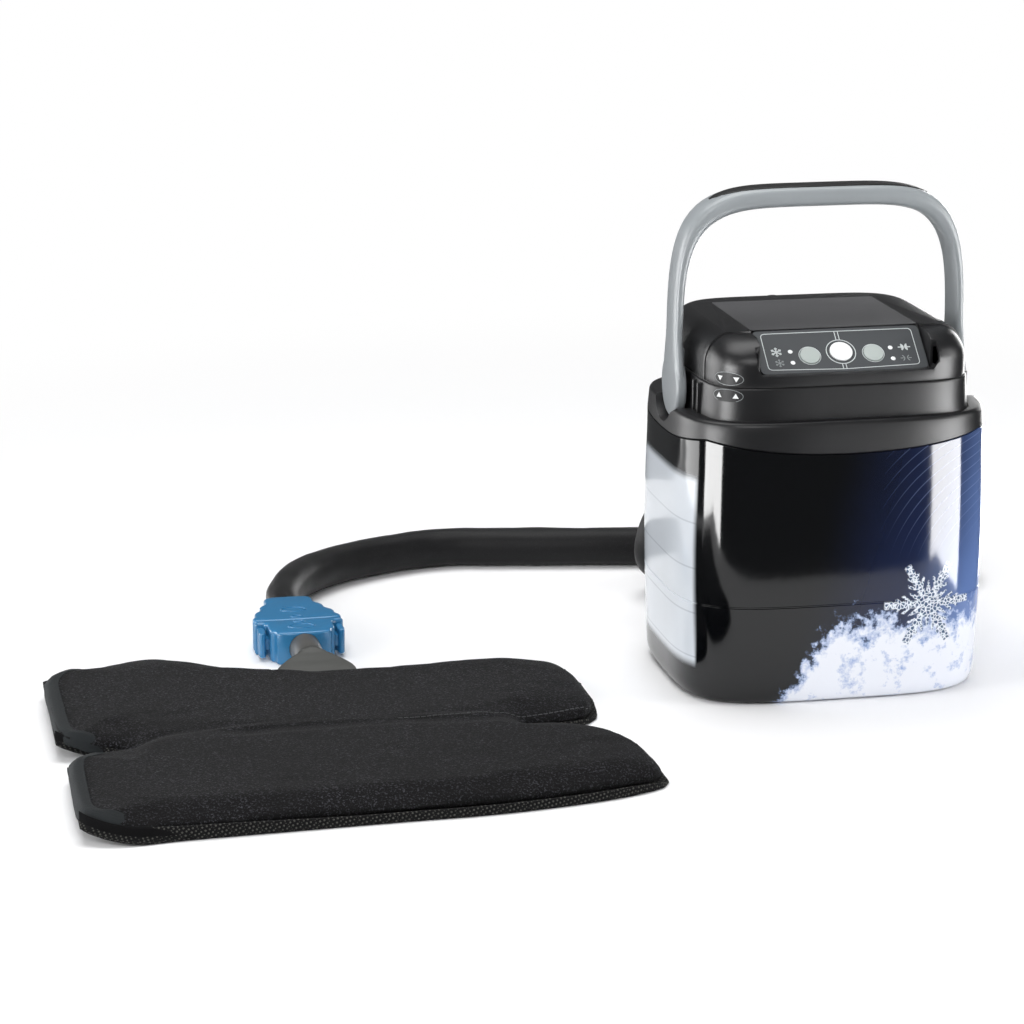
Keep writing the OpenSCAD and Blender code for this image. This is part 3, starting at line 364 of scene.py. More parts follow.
# gloss-printed film shrunk round the shell: black that turns navy to the right, a plain frost heap
# with one six-armed crystal low on the right, and a bare pale field on the left side
def makePrintedSleeve():
    material, add, shader = newMaterial("glossPrintedShrinkFilm", {"IOR": 1.52})
    here = add("TexCoord").outputs["Object"]
    x, y, z = add("SeparateXYZ", {0: here}).outputs
    soft = {"interpolation_type": "SMOOTHSTEP"}
    cloud = add("TexNoise", {"Vector": here, "Scale": 11.0, "Detail": 5.0})
    # 4 mm crumbs of ice, and the 1.6 mm lace of the crystal, both drawn coarse enough to show
    crumbs = add("TexNoise", {"Vector": here, "Scale": 1 / (11 * mm), "Detail": 9.0, "Roughness": 0.68})
    lace = add("TexVoronoi", {"Vector": here, "Scale": 1 / (2.6 * mm)}, feature="DISTANCE_TO_EDGE")
    # blue deepens towards the right and brightens downwards
    drift = add("Math", {0: cloud, 1: 0.02, 2: x}, operation="MULTIPLY_ADD")
    drift = add("Math", {0: z, 1: -0.25, 2: drift}, operation="MULTIPLY_ADD")
    navy = add("MapRange", {"Value": drift, "From Min": -0.045, "From Max": 0.04}, **soft)
    blue = add("MapRange", {"Value": drift, "From Min": 0.03, "From Max": 0.10}, **soft)
    # hair-thin arcs in the upper right
    shifted = add("Mapping", {"Vector": here, "Location": (-0.125, 0.0, -0.08)})
    arcs = add("TexWave", {"Vector": shifted, "Scale": 46.0, "Distortion": 0.3, "Detail Scale": 0.5},
               wave_type="RINGS", rings_direction="Y")
    hairline = add("MapRange", {"Value": arcs.outputs["Fac"], "From Min": 0.965, "From Max": 1.0, "To Max": 0.3})
    right = add("MapRange", {"Value": x, "From Min": 0.02, "From Max": 0.06}, **soft)
    upper = add("MapRange", {"Value": z, "From Min": 0.1, "From Max": 0.15}, **soft)
    corner = add("Math", {0: right, 1: upper}, operation="MULTIPLY")
    arcMask = add("Math", {0: hairline, 1: corner}, operation="MULTIPLY")
    # frost heap: rises from the left, its edge broken by the crumbs
    rise = add("MapRange", {"Value": x, "From Min": -0.074, "From Max": 0.0, "To Min": -0.02, "To Max": 0.062}, **soft)
    ragged = add("MapRange", {"Value": crumbs, "From Min": 0.3, "From Max": 0.7, "To Min": -0.019, "To Max": 0.017})
    above = add("Math", {0: rise, 1: z}, operation="SUBTRACT")
    above = add("Math", {0: above, 1: ragged}, operation="ADD")
    heap = add("MapRange", {"Value": above, "From Min": -0.004, "From Max": 0.006, "To Max": 0.97}, **soft)
    whiteness = add("MapRange", {"Value": above, "From Min": -0.003, "From Max": 0.018}, **soft)
    sparkle = add("MapRange", {"Value": crumbs, "From Min": 0.3, "From Max": 0.45})
    whiteness = add("Math", {0: whiteness, 1: sparkle}, operation="MULTIPLY")
    ice = add("Mix", {0: whiteness, 6: linearColour("93abd8"), 7: linearColour("f3f6fe")}, data_type="RGBA")
    # the crystal: polar coordinates folded into one of six arms, with twigs at sixty degrees
    centred = add("Mapping", {"Vector": here, "Location": (-0.06, 0.0, -0.0705), "Scale": (1, 0, 1)})
    flat = add("SeparateXYZ", {0: centred}).outputs
    radius = add("VectorMath", {0: centred}, operation="LENGTH")
    aside = add("Math", {0: flat[2], 1: flat[0]}, operation="ARCTAN2")
    for operation, values in (("MULTIPLY_ADD", {1: 3 / pi, 2: 3.5}), ("FRACT", {}), ("SUBTRACT", {1: 0.5}),
                              ("ABSOLUTE", {}), ("MULTIPLY", {1: pi / 3}), ("SINE", {}),
                              ("MULTIPLY", {1: radius})):
        aside = add("Math", {0: aside, **values}, operation=operation)
    falling = {"To Min": 1.0, "To Max": 0.0}
    arm = add("MapRange", {"Value": aside, "From Min": 0.0022, "From Max": 0.0032, **falling})
    twig = add("Math", {0: aside, 1: -1.45, 2: radius}, operation="MULTIPLY_ADD")
    twig = add("Math", {0: twig, 1: 0.0036}, operation="PINGPONG")
    twig = add("MapRange", {"Value": twig, "From Min": 0.0016, "From Max": 0.0026})
    spread = add("Math", {0: radius, 1: 0.0165}, operation="PINGPONG")
    reach = add("Math", {0: spread, 1: -0.52, 2: aside}, operation="MULTIPLY_ADD")
    near = add("MapRange", {"Value": reach, "From Min": -0.0006, "From Max": 0.0006, **falling})
    twig = add("Math", {0: twig, 1: near}, operation="MULTIPLY")
    crystal = add("Math", {0: arm, 1: twig}, operation="MAXIMUM")
    inside = add("MapRange", {"Value": radius, "From Min": 0.0325, "From Max": 0.0335, **falling})
    front = add("Math", {0: y, 1: 0.0}, operation="LESS_THAN")
    for limit in (inside, front):
        crystal = add("Math", {0: crystal, 1: limit}, operation="MULTIPLY")
    grains = add("MapRange", {"Value": lace, "From Min": 0.03, "From Max": 0.2})
    glass = add("Mix", {0: grains, 6: linearColour("eef4fc"), 7: linearColour("3f5778")}, data_type="RGBA")
    # bare pale field on the left side with blurred edges, ruled off by faint lines
    field = None
    for along, outside, within in ((y, -0.071, -0.066), (y, 0.068, 0.062), (z, 0.024, 0.032), (z, 0.168, 0.16),
                                   (x, -0.1035, -0.105)):
        edge = add("MapRange", {"Value": along, "From Min": outside, "From Max": within}, **soft)
        field = add("Math", {0: field, 1: edge}, operation="MULTIPLY") if field else edge
    rules = add("Math", {0: z, 1: 0.0165}, operation="PINGPONG")
    rules = add("MapRange", {"Value": rules, "From Min": 0.0004, "From Max": 0.0008, "To Min": 0.4, "To Max": 0.0})
    pale = add("Mix", {0: rules, 6: linearColour("dde3ea"), 7: linearColour("9aa3ad")}, data_type="RGBA")
    # the layers, each laid over what lies below it
    colour = linearColour("050608")
    for mask, paint in ((navy, linearColour("16203f")), (blue, linearColour("6681ba")),
                        (arcMask, linearColour("8fa2d0")), (heap, ice), (crystal, glass), (field, pale)):
        colour = add("Mix", {0: mask, 6: colour, 7: paint}, data_type="RGBA")
    # handling dulls the gloss in small scuffs, and the film ripples over the wall
    scuffs = add("TexNoise", {"Vector": here, "Scale": 1 / (4 * mm), "Detail": 4.0})
    ripple = add("TexNoise", {"Vector": here, "Scale": 1 / (30 * mm), "Detail": 2.0})
    setInputs(shader, {
        "Base Color": colour, "Roughness": add("MapRange", {"Value": scuffs, "To Min": 0.05, "To Max": 0.13}),
        "Normal": add("Bump", {"Height": ripple, "Strength": 0.12, "Distance": 0.7 * mm})})
    return material


# cloth: fibres as speckle in colour and bump, a soft nap as sheen
def makeCloth(name, colour, speck, pitch, rough=0.9, sheen=0.12, bump=0.7, knots=None):
    material, add, shader = newMaterial(name, {"Roughness": rough, "Sheen Weight": sheen, "Sheen Roughness": 0.45,
                                               "Specular IOR Level": 0.15})
    here = add("TexCoord").outputs["Object"]
    height = add("TexNoise", {"Vector": here, "Scale": 1 / (pitch * mm), "Detail": 3.0, "Roughness": 0.7})
    if knots:
        turned = add("Mapping", {"Vector": here, "Rotation": (0.79, 0.3, 0.79)})
        cells = add("TexVoronoi", {"Vector": turned, "Scale": 1 / (knots * mm), "Randomness": 0.1})
        height = share = add("MapRange", {"Value": cells, "From Min": 0.42, "From Max": 0.26})
    else:
        patches = add("TexNoise", {"Vector": here, "Scale": 22.0, "Detail": 5.0, "Roughness": 0.6})
        lift = add("MapRange", {"Value": height, "From Min": 0.53, "From Max": 0.68, "To Max": 0.9})
        worn = add("MapRange", {"Value": patches, "From Min": 0.3, "From Max": 0.8, "To Min": 0.35, "To Max": 1.0})
        share = add("Math", {0: lift, 1: worn}, operation="MULTIPLY")
    setInputs(shader, {
        "Base Color": add("Mix", {0: share, 6: linearColour(colour), 7: linearColour(speck)}, data_type="RGBA"),
        "Normal": add("Bump", {"Height": height, "Strength": bump, "Distance": pitch * mm * 0.5})})
    return material


sleevePrint = makePrintedSleeve()
# brushed nylon loop face; its tufts are drawn 1.5 mm wide, coarser than real ones, so that they show
padCloth = makeCloth("brushedNylonLoop", "080809", "4c4c52", 1.5, sheen=0.02)
# warp-knitted spacer mesh: dull knots 2 mm apart over a dark ground
meshCloth = makeCloth("knittedSpacerMesh", "080809", "484844", 0.8, sheen=0.03, bump=1.0, knots=2.0)
# coated nylon sleeve of the hose: smoother, a faint sheen along its folds
hoseCloth = makeCloth("coatedNylonSleeve", "131314", "28282b", 0.9, rough=0.46, sheen=0.1, bump=0.25)
print("cloth and print ready")

# hose, lofted round its route as one sleeve

hoseShape = {"radius": 15.5, "endRadius": 12.1, "gap": 0.4, "sides": 30, "each": 7, "fold": 0.55}
# the route's points, as in the part's source; a height of 0 lies on the floor
hosePoints = [(0, 105, 247), (0, 125, 242), (0, 150, 234), (-2, 172, 220), (-6, 190, 196), (-12, 200, 165),
              (-22, 205, 130), (-42, 206, 90), (-62, 204, 58), (-66, 206, 34), (-52, 218, 20), (-28, 232, 0),
              (10, 238, 0), (45, 228, 0), (72, 204, 0), (96, 178, 0), (126, 164, 0), (158, 168, 0), (182, 190, 0),
              (188, 222, 0), (172, 252, 0), (140, 270, 0), (90, 279, 0), (30, 286, 0), (-50, 296, 0), (-120, 308, 0),
              (-170, 318, 0), (-208, 325, 0), (-245, 320, 0), (-285, 304, 0), (-318, 282, 0), (-345, 252, 0),
              (-360, 222, 0), (-365.5, 195, 0), (-365.5, 175, 0)]


def hoseRadius(place):  # mm; the sleeve is gathered over the three points next to each end
    s = hoseShape
    return s["endRadius"] + (s["radius"] - s["endRadius"]) * min(1, place / 3, (len(hosePoints) - 1 - place) / 3)


def makeHose():
    s = hoseShape
    last = len(hosePoints) - 1
    lifted = [(x, y, max(z, hoseRadius(i) + s["gap"])) for i, (x, y, z) in enumerate(hosePoints)]
    path = smoothThrough(lifted, s["each"])
    rings, side, length = [], Vector((1, 0, 0)), 0.0
    for i, p in enumerate(path):
        ahead = path[min(i + 1, len(path) - 1)] - path[max(i - 1, 0)]
        ahead.normalize()
        side = (side - ahead * side.dot(ahead)).normalized()
        up = side.cross(ahead)
        if i:
            length += (p - path[i - 1]).length
        r = hoseRadius(i / s["each"])
        ring = []
        for k in range(s["sides"]):
            turn = 2 * pi * k / s["sides"]
            around = side * cos(turn) + up * sin(turn)
            # long soft folds of a slack sleeve, deeper where the hose bends or is gathered
            fold = noise.noise(Vector((cos(turn) * 1.6, sin(turn) * 1.6, length / 30)))
            fine = noise.noise(Vector((cos(turn) * 4, sin(turn) * 4, length / 15 + 9)))
            near = max(0, 1 - min(i, last * s["each"] - i) / 14)
            pucker = near * 0.8 * cos(turn * 13)
            ring.append(p + around * min(r + 0.5, r + s["fold"] * (fold * 1.3 + fine * 0.5) - 0.2 + pucker))
        rings.append(ring)
    piece = loft("hoseSleeve", rings)
    smooth(piece, 60)
    return piece, [p * mm for p in path], length * mm


hose, hosePath, hoseLength = makeHose()
finishPiece(hose, None, hoseCloth, ["hose"])
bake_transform(hose)
print("hose length in metres:", round(hoseLength, 3))

# cooler

cooler = {"width": 226, "depth": 185, "rim": 207, "swell": 2.5, "footRound": 6.5, "footRoundHeight": 14,
          "wall": 2.6, "foot": 1.2, "square": 4, "neckSquare": 5.5, "bandFront": 24,
          "bandSide": 20, "bandRise": 13, "bandZ": 176, "neckWidth": 197, "neckDepth": 168, "neckTop": 230.5,
          "pivot": 218, "notchRadius": 26, "notchBack": 98.2, "steps": 160}


def bodyInset(z):
    c = cooler
    swell = sin(pi * max(0, z - c["footRoundHeight"]) / (c["rim"] - c["footRoundHeight"]))
    return quarter(c["footRoundHeight"] + c["foot"] - z, c["footRound"], c["footRoundHeight"]) - c["swell"] * swell


def bandLine(x, y):  # lower edge of the collar
    c = cooler
    return min(c["rim"] - c["bandFront"] + c["bandRise"] * (2 * x / c["width"]) ** 2,
               c["rim"] - c["bandSide"] + c["bandRise"] * 0.75 * (2 * y / c["depth"]) ** 2)


def bodyRing(z, inset, towardsBand=0.0):
    c = cooler
    flat = squareRound(c["width"] / 2 - bodyInset(z) - inset, c["depth"] / 2 - bodyInset(z) - inset,
                       c["square"], c["steps"])
    return [(x, y, z + towardsBand * (bandLine(x, y) - z)) for x, y in flat]


def neckRing(z, inset):
    c = cooler
    flat = squareRound(c["neckWidth"] / 2 - inset, c["neckDepth"] / 2 - inset, c["neckSquare"], c["steps"])
    return [(x, y, z) for x, y in flat]


def makeShell():
    c = cooler
    rings = [bodyRing(c["foot"], 2)]
    rings += [bodyRing(z, 0) for z in (1.6, 2.6, 4, 6, 8.5, 11, 14, 22, 34, 48, 60, 72)]
    rings += [bodyRing(72.8, 0), bodyRing(73.2, 0.5), bodyRing(73.9, 0.5), bodyRing(74.4, 0.05)]
    rings += [bodyRing(z, 0) for z in (84, 98, 114, 130, 146, 160, 172)]
    rings += [bodyRing(c["bandZ"], 0, t) for t in (0.5, 0.97)]
    rings += [bodyRing(c["bandZ"], 0.35, 0.995), bodyRing(c["bandZ"], 1.0, 1.0), bodyRing(c["bandZ"], c["wall"], 1.0)]
    rings += [bodyRing(z, c["wall"]) for z in (170, 130, 90, 50, 20, 12, 7, c["foot"] + c["wall"])]
    piece = loft("printedShell", rings)
    return finishPiece(piece, "cooler", sleevePrint, ["outer_shell"], angle=40)


def slotTool(name, x0, x1, radius, top, side):
    c = cooler
    start = asin(max(0, (c["pivot"] - top) / radius))  # a low top cuts the arc short
    profile = [(radius * cos(a), c["pivot"] + radius * sin(a))
               for a in [pi + start + (pi - 2 * start) * i / 32 for i in range(33)]]
    if top > c["pivot"]:
        profile = [(-radius, top)] + profile + [(radius, top)]
    return loft(name, [[(side * x, y, z) for y, z in profile] for x in (x0, x1)])


def makeCollar():
    c = cooler
    rim = c["rim"]
    rings = [bodyRing(c["bandZ"], 2.9, 1.0), bodyRing(c["bandZ"], 1.1, 1.0)]
    low = [(x, y, z + 1.1) for x, y, z in bodyRing(c["bandZ"], 0.05, 1.0)]
    rings.append(low)
    for f in (0.33, 0.66, 1.0):
        top = bodyRing(rim - 3, 0)
        rings.append([tuple(a + (b - a) * f for a, b in zip(p, q)) for p, q in zip(low, top)])
    for turn in (22, 45, 68, 90):  # rounded outer edge of the rim
        a = radians(turn)
        rings.append([(x, y, rim - 3 + 3 * sin(a)) for x, y, z in bodyRing(rim, 3 * (1 - cos(a)))])
    rings += [neckRing(rim, -1.2), neckRing(rim - 0.9, -1.0), neckRing(rim - 0.9, -0.3),
              neckRing(rim + 0.5, 0), neckRing(rim + 3, 0.05), neckRing(220, 0.55), neckRing(228.6, 0.9)]
    for turn in (25, 50, 75):  # upper edge of the neck
        a = radians(turn)
        rings.append(neckRing(228.9 + 1.6 * sin(a), 0.95 + 1.1 * (1 - cos(a))))
    rings += [neckRing(c["neckTop"], 2.2), neckRing(c["neckTop"], 2.9), neckRing(229.8, 3.05), neckRing(205, 3),
              neckRing(204.5, 2.6), bodyRing(204.4, 4.5), bodyRing(172, 4.5), bodyRing(172, 2.9)]
    piece = loft("collar", rings, ring=True)
    for side in (-1, 1):  # pockets that the handle's round ends turn in
        block = slotTool("pocketBlock", c["notchBack"] - 2, c["width"] / 2 - 1.6, c["notchRadius"] + 7, rim - 0.3, side)
        boolean(piece, block, "UNION")
        boolean(piece, slotTool("slot", c["notchBack"], 140, c["notchRadius"], 280, side))
        room = [(-33, 209), (-33, 208.15), (-20.5, 201.7), (-20.5, 209)]  # where the folded bow's leg comes down
        boolean(piece, loft("bowRoom", [[(side * x, y, z) for y, z in room] for x in (c["notchBack"], 140)]))
        for y in (-45, -33, 33, 45):  # upright ribs beside the pocket
            rib = box("rib", (side * 98 - 2.2, y - 1.2, 206.6), (side * 98 + 2.2, y + 1.2, 228.6))
            bevel(rib, 0.6, 3)
            boolean(piece, rib, "UNION")
        boolean(piece, cylinder((side * 98.9, 0, c["pivot"]), 8.5, 3.4, alongX), "UNION")  # boss round the pivot pin
    return finishPiece(piece, "cooler", materials["mouldedBlackAbs"], ["neck_collar"], angle=34)


makeShell()
makeCollar()
print("cooler ready")

# lid

lid = {"width": 193, "depth": 169, "low": 231.5, "top": 264.7, "shoulder": 19, "shoulderHeight": 23,
       "nose": 30, "noseHeight": 20, "noseStep": 1.4, "crease": -48, "square": 5.5, "wall": 2.4, "spoutZ": 247,
       "steps": 144}
panel = {"y": -60.65, "z": 251.25, "tilt": 40, "width": 122.4, "length": 38.6, "thick": 2.3,
         "keyX": 23.3, "keyY": -4.3, "powerY": -1.9, "keyWidth": 14.2, "powerWidth": 16.3}


def onPanel(x, y, z):  # a point of the panel's own frame, in mm of the whole
    a = radians(panel["tilt"])
    return Vector((x, panel["y"] + y * cos(a) - z * sin(a), panel["z"] + y * sin(a) + z * cos(a)))


def lidForm(name, nose, shrink=0.0, low=None):
    s = lid
    top = s["top"] - shrink - nose * s["noseStep"]
    shoulder = s["top"] - s["shoulderHeight"] + 0.3 - shrink
    inner = shrink + nose * s["noseStep"] / 2
    heights = [s["low"] if low is None else low, s["low"] + 3]
    heights += [shoulder + (top - shoulder) * sin(pi / 2 * i / 22) for i in range(23)]
    rings = []
    for z in heights:
        front = nose * quarter(z - (s["top"] - s["noseHeight"]) + shrink, s["nose"], s["noseHeight"])
        back = quarter(z - top + 8, 6, 8)
        side = quarter(z - shoulder, s["shoulder"], s["shoulderHeight"])
        flat = squareRound(s["width"] / 2 - side - inner, (s["depth"] - front - back) / 2 - inner,
                           s["square"], s["steps"])
        rings.append([(x, y + (front - back) / 2, z) for x, y in flat])
    return loft(name, rings)


def panelBox(name, low, high):
    middle = onPanel(*[(a + b) / 2 for a, b in zip(low, high)])
    bpy.ops.mesh.primitive_cube_add(size=1, location=middle * mm, rotation=(radians(panel["tilt"]), 0, 0),
                                    scale=[(b - a) * mm for a, b in zip(low, high)])
    bpy.context.object.name = name
    return bpy.context.object


def panelCylinder(x, y, low, high, diameter):
    bpy.ops.mesh.primitive_cylinder_add(vertices=64, radius=diameter / 2 * mm, depth=(high - low) * mm,
                                        location=onPanel(x, y, (low + high) / 2) * mm,
                                        rotation=(radians(panel["tilt"]), 0, 0))
    return bpy.context.object


keyPlaces = {"cold_key": (-panel["keyX"], panel["keyY"], panel["keyWidth"]),
             "power_key": (0, panel["powerY"], panel["powerWidth"]),
             "compression_key": (panel["keyX"], panel["keyY"], panel["keyWidth"])}


def makeLid():
    piece = lidForm("lidTop", 1)
    upright = lidForm("upright", 0)
    boolean(upright, box("frontCut", (-150, -150, 200), (150, lid["crease"], 300)))
    boolean(piece, upright, "UNION")
    hollow = lidForm("hollow", 1, lid["wall"], lid["low"] - 1)
    boolean(hollow, panelBox("backing", (-64.3, -40, -4.7), (64.3, 40, 55.3)))
    boolean(piece, hollow)
    boolean(piece, panelBox("recess", (-62.3, -19.9, -2.4), (62.3, 60, 57)))
    # the front stands only as high as the panel's lower edge, its ends sloping outward
    ledge = onPanel(0, -panel["length"] / 2, 0).z
    outline = [(-62.3, ledge), (62.3, ledge), (66.3, ledge + 6), (66.3, ledge + 40), (-66.3, ledge + 40),
               (-66.3, ledge + 6)]
    boolean(piece, loft("ledgeCut", [[(x, y, z) for x, z in outline] for y in (-103.4, -73.4)]))
    for x, y, width in keyPlaces.values():
        boolean(piece, panelCylinder(x, y, -20, 10, width + 0.6))
    boolean(piece, box("labelBed", (-61.6, -44.4, 264.1), (61.6, 61.8, 270)))
    for x, z, r in ((0, lid["spoutZ"], 12.2), (60, 246, 5.6)):  # bores of the spout and of the power inlet
        boolean(piece, cylinder((x, 79.5, z), r, 20, alongY))
    bevel(piece, 0.35, 2, 50, use_clamp_overlap=True)
    return finishPiece(piece, "lid", materials["mouldedBlackAbs"], ["lid_cover"], angle=34)


def makeOutlet():  # moulded spout with three gripping grooves, the hose's sleeve gathered behind it
    profile = [(73.2, 9), (73, 12), (84.5, 12), (84.8, 13.0), (85.4, 13.4), (88, 13.4), (88.6, 13.1)]
    for y in (91.4, 95.4, 99.4):
        profile += [(y, 13.1), (y + 0.3, 12.2), (y + 1.4, 12.2), (y + 1.7, 12.9)]
    profile += [(104.3, 12.5), (104.9, 12.0), (104.9, 9)]
    piece = loft("hoseSpout", [[(x, y, lid["spoutZ"] + z) for x, z in squareRound(r, r, 2, 64)] for y, r in profile])
    return finishPiece(piece, "lid", materials["mouldedBlackAbs"], ["hose_outlet"], angle=34)


# each key: a dished cap on its stem, with the flange that holds it behind the panel
def makeKey(name):
    x, y, width = keyPlaces[name]
    cap = panelCylinder(x, y, -4.9, 0.85, width)
    applyPlace(cap)
    face = max(cap.data.polygons, key=lambda f: f.center.z)
    for polygon in cap.data.polygons:
        polygon.select = polygon.index == face.index
    for item in list(cap.data.edges) + list(cap.data.vertices):
        item.select = False
    bpy.ops.object.mode_set(mode="EDIT")
    bpy.ops.mesh.select_mode(type="FACE")
    bpy.ops.mesh.inset(thickness=1.1 * mm)
    bpy.ops.mesh.inset(thickness=1.8 * mm)
    down = (onPanel(0, 0, -0.25) - onPanel(0, 0, 0)) * mm
    bpy.ops.transform.translate(value=down)
    bpy.ops.mesh.inset(thickness=1.8 * mm)
    bpy.ops.transform.translate(value=down * 0.4)
    bpy.ops.object.mode_set(mode="OBJECT")
    bevel(cap, 0.45, 4, 40)
    flange = panelCylinder(x, y, -6.1, -5.1, width + 2.4)
    stem = panelCylinder(x, y, -6.3, -4.8, width - 3)
    for part in (flange, stem):
        applyPlace(part)
    join(name.replace("_key", "KeyCap"), cap, flange, stem)
    smooth(cap, 35)
    finish = materials["castWhiteSilicone" if name == "power_key" else "castGreySilicone"]
    finishPiece(cap, name, finish, [name])


makeLid()
makeOutlet()
for name in keyPlaces:
    makeKey(name)
print("lid and keys ready")

# printed lines and icons, each a film of ink 0.08 mm thick laid on what carries it

ink = {"thick": 0.08, "line": 0.55, "corner": 3.2, "left": -55.5, "right": 55.5, "up": 16.6, "down": -17.2,
       "powerRing": 10.6, "gap": 1.25, "iconX": 47.0, "iconYs": (0, -9.8)}


def inkLine(points, width, lift, closed=False):  # a flat line through points of the panel
    flat = [Vector((p[0], p[1])) for p in points]
    rings = []
    for i, p in enumerate(flat):
        before = flat[i - 1 if i or closed else 0]
        after = flat[(i + 1) % len(flat) if i + 1 < len(flat) or closed else i]
        ahead = (after - before).normalized()
        left, right = p + Vector((-ahead.y, ahead.x)) * width / 2, p - Vector((-ahead.y, ahead.x)) * width / 2
        rings.append([onPanel(left.x, left.y, lift), onPanel(right.x, right.y, lift),
                      onPanel(right.x, right.y, lift + ink["thick"]), onPanel(left.x, left.y, lift + ink["thick"])])
    return loft("inkLine", rings, ring=closed)


def inkArc(x, y, r, start, end, width, lift, steps=24):
    return inkLine([(x + r * cos(radians(start + (end - start) * i / steps)),
                     y + r * sin(radians(start + (end - start) * i / steps)))
                    for i in range(steps + 1)], width, lift)


def inkRing(x, y, r, width, lift):
    return inkLine([(x + u, y + v) for u, v in squareRound(r, r, 2, 56)], width, lift, closed=True)


def snowIcon(x, y, size, width):  # three crossed bars with small twigs
    lines = []
    for k in range(6):
        a = radians(90 + 60 * k)
        tip = (x + size * cos(a), y + size * sin(a))
        lines.append(inkLine([(x + 0.1 * cos(a), y + 0.1 * sin(a)), tip], width, 0.01))
        for side in (-1, 1):
            b = a + side * radians(42)
            root = (x + size * 0.56 * cos(a), y + size * 0.56 * sin(a))
            lines.append(inkLine([root, (root[0] + size * 0.36 * cos(b), root[1] + size * 0.36 * sin(b))],
                                 width * 0.8, 0.01))
    return lines


def squeezeIcon(x, y, size, width, push):  # two bows pressed together by a stroke from either side
    lines = []
    for side in (-1, 1):
        lines.append(inkLine([(x + side * size * 1.35, y), (x + side * size * 0.62, y)], width, 0.01))
        bow = [(x + side * (push + 0.11 * (v / 4) ** 2 * size), y + size * 0.78 * v / 8) for v in range(-8, 9)]
        lines.append(inkLine(bow, width * 1.15, 0.01))
        if push < 1:
            lines.append(inkLine([(x + side * (p[0] * side - x * side + 0.9), p[1]) for p in bow[3:-3]], width, 0.01))
    return lines


def makePanelInk():
    s = ink
    corners = [(s["left"], s["up"]), (s["left"], s["down"] + 1.6), (0, s["down"]), (s["right"], s["down"] + 1.6),
               (s["right"], s["up"])]
    outline = []
    for i, p in enumerate(corners):  # soft corners, and a lower edge that bows a little
        q, r = Vector(corners[i - 1]), Vector(corners[(i + 1) % len(corners)])
        p = Vector(p)
        for t in (0.0, 0.25, 0.5, 0.75, 1.0):
            start, end = p + (q - p).normalized() * s["corner"], p + (r - p).normalized() * s["corner"]
            outline.append((1 - t) ** 2 * start + 2 * t * (1 - t) * p + t * t * end)
    pieces = [inkLine(outline, s["line"], 0.01, closed=True)]
    cx, cy = keyPlaces["power_key"][:2]
    pieces.append(inkRing(cx, cy, s["powerRing"], s["line"] * 1.1, 0.01))
    for side in (-1, 1):
        for low, high in ((s["down"] + 0.2, cy - s["powerRing"]), (cy + s["powerRing"], s["up"])):
            pieces.append(inkLine([(side * s["gap"], low), (side * s["gap"], high)], s["line"], 0.01))
    for name in ("cold_key", "compression_key"):
        x, y, width = keyPlaces[name]
        pieces.append(inkRing(x, y, width / 2 + 0.75, 0.5, 0.01))
    top, low = s["iconYs"]
    pieces += snowIcon(-s["iconX"], top, 4.1, 0.95) + squeezeIcon(s["iconX"], top, 3.4, 0.9, 0.7)
    finishPiece(join("panelInk", *pieces), "lid", materials["inkPaleGrey"])
    faint = snowIcon(-s["iconX"] + 0.6, low, 3.5, 0.6) + squeezeIcon(s["iconX"] - 0.6, low, 3.0, 0.55, 1.1)
    finishPiece(join("panelInkFaint", *faint), "lid", materials["inkDimGrey"])
    symbol = (inkArc(cx, cy, 2.6, -235, 55, 0.75, 0.5), inkLine([(cx, cy + 0.6), (cx, cy + 3.3)], 0.75, 0.5))
    finishPiece(join("powerSymbol", *symbol), "power_key", materials["inkBlack"])


makePanelInk()


def cornerFilm(name, contour, middle, height, shape, lift, thick):  # a film wrapped round an outline
    around = [Vector((x, y, 0)) for x, y in contour]
    lengths = [0.0]
    for p, q in zip(around, around[1:]):
        lengths.append(lengths[-1] + (q - p).length)
    start = min(range(len(around)), key=lambda i: (around[i] - Vector(middle)).length)
    rings = []
    face = lift + thick
    for scale, out in ((1.0, lift), (1.0, face), (0.66, face), (0.33, face), (0.04, face)):
        ring = []
        for u, v in shape:
            reach = lengths[start] + u * scale
            i = max(k for k in range(len(lengths) - 1) if lengths[k] <= reach)
            p, q = around[i], around[i + 1]
            along = (q - p).normalized()
            place = p + along * (reach - lengths[i])
            ring.append(place + Vector((along.y, -along.x, 0)) * out + Vector((0, 0, height + v * scale)))
        rings.append(ring)
    return loft(name, rings)


def makeMarks():  # paired triangles that show how the lid goes on, on dark ovals
    oval = squareRound(11.5, 4.4, 2, 40)
    place = (-85.5, -73.0, 0)  # the front left corner
    c, n = cooler, lid
    lidLine = squareRound(n["width"] / 2 - 0.7, (n["depth"] - 1.4) / 2, n["square"], 720)
    neckLine = squareRound(c["neckWidth"] / 2 - 0.62, c["neckDepth"] / 2 - 0.62, c["neckSquare"], 720)
    for body, line, height, way in (("lid", lidLine, 236.6, -1), ("cooler", neckLine, 224.6, 1)):
        ground = cornerFilm(body + "MarkGround", line, place, height, oval, 0.02, 0.05)
        rim = cornerFilm(body + "MarkRim", line, place, height,
                         [(u * 1.035, v * 1.09) for u, v in oval], 0.0, 0.04)
        finishPiece(ground, body, materials["inkBlack"])
        finishPiece(rim, body, materials["inkDimGrey"])
        signs = []
        for u in (-6.6, 6.4):
            shape = [(-2.2, -1.5 * way), (0, 2.0 * way), (2.2, -1.5 * way)]
            shape = [tuple(a + (b - a) * t for a, b in zip(p, q)) for p, q in zip(shape, shape[1:] + shape[:1])
                     for t in (0, 0.33, 0.66)]
            middle = cornerPoint(line, place, u)
            signs.append(cornerFilm("sign", line, middle, height, shape, 0.07, 0.05))
        finishPiece(join(body + "MarkSigns", *signs), body, materials["castWhiteSilicone"])


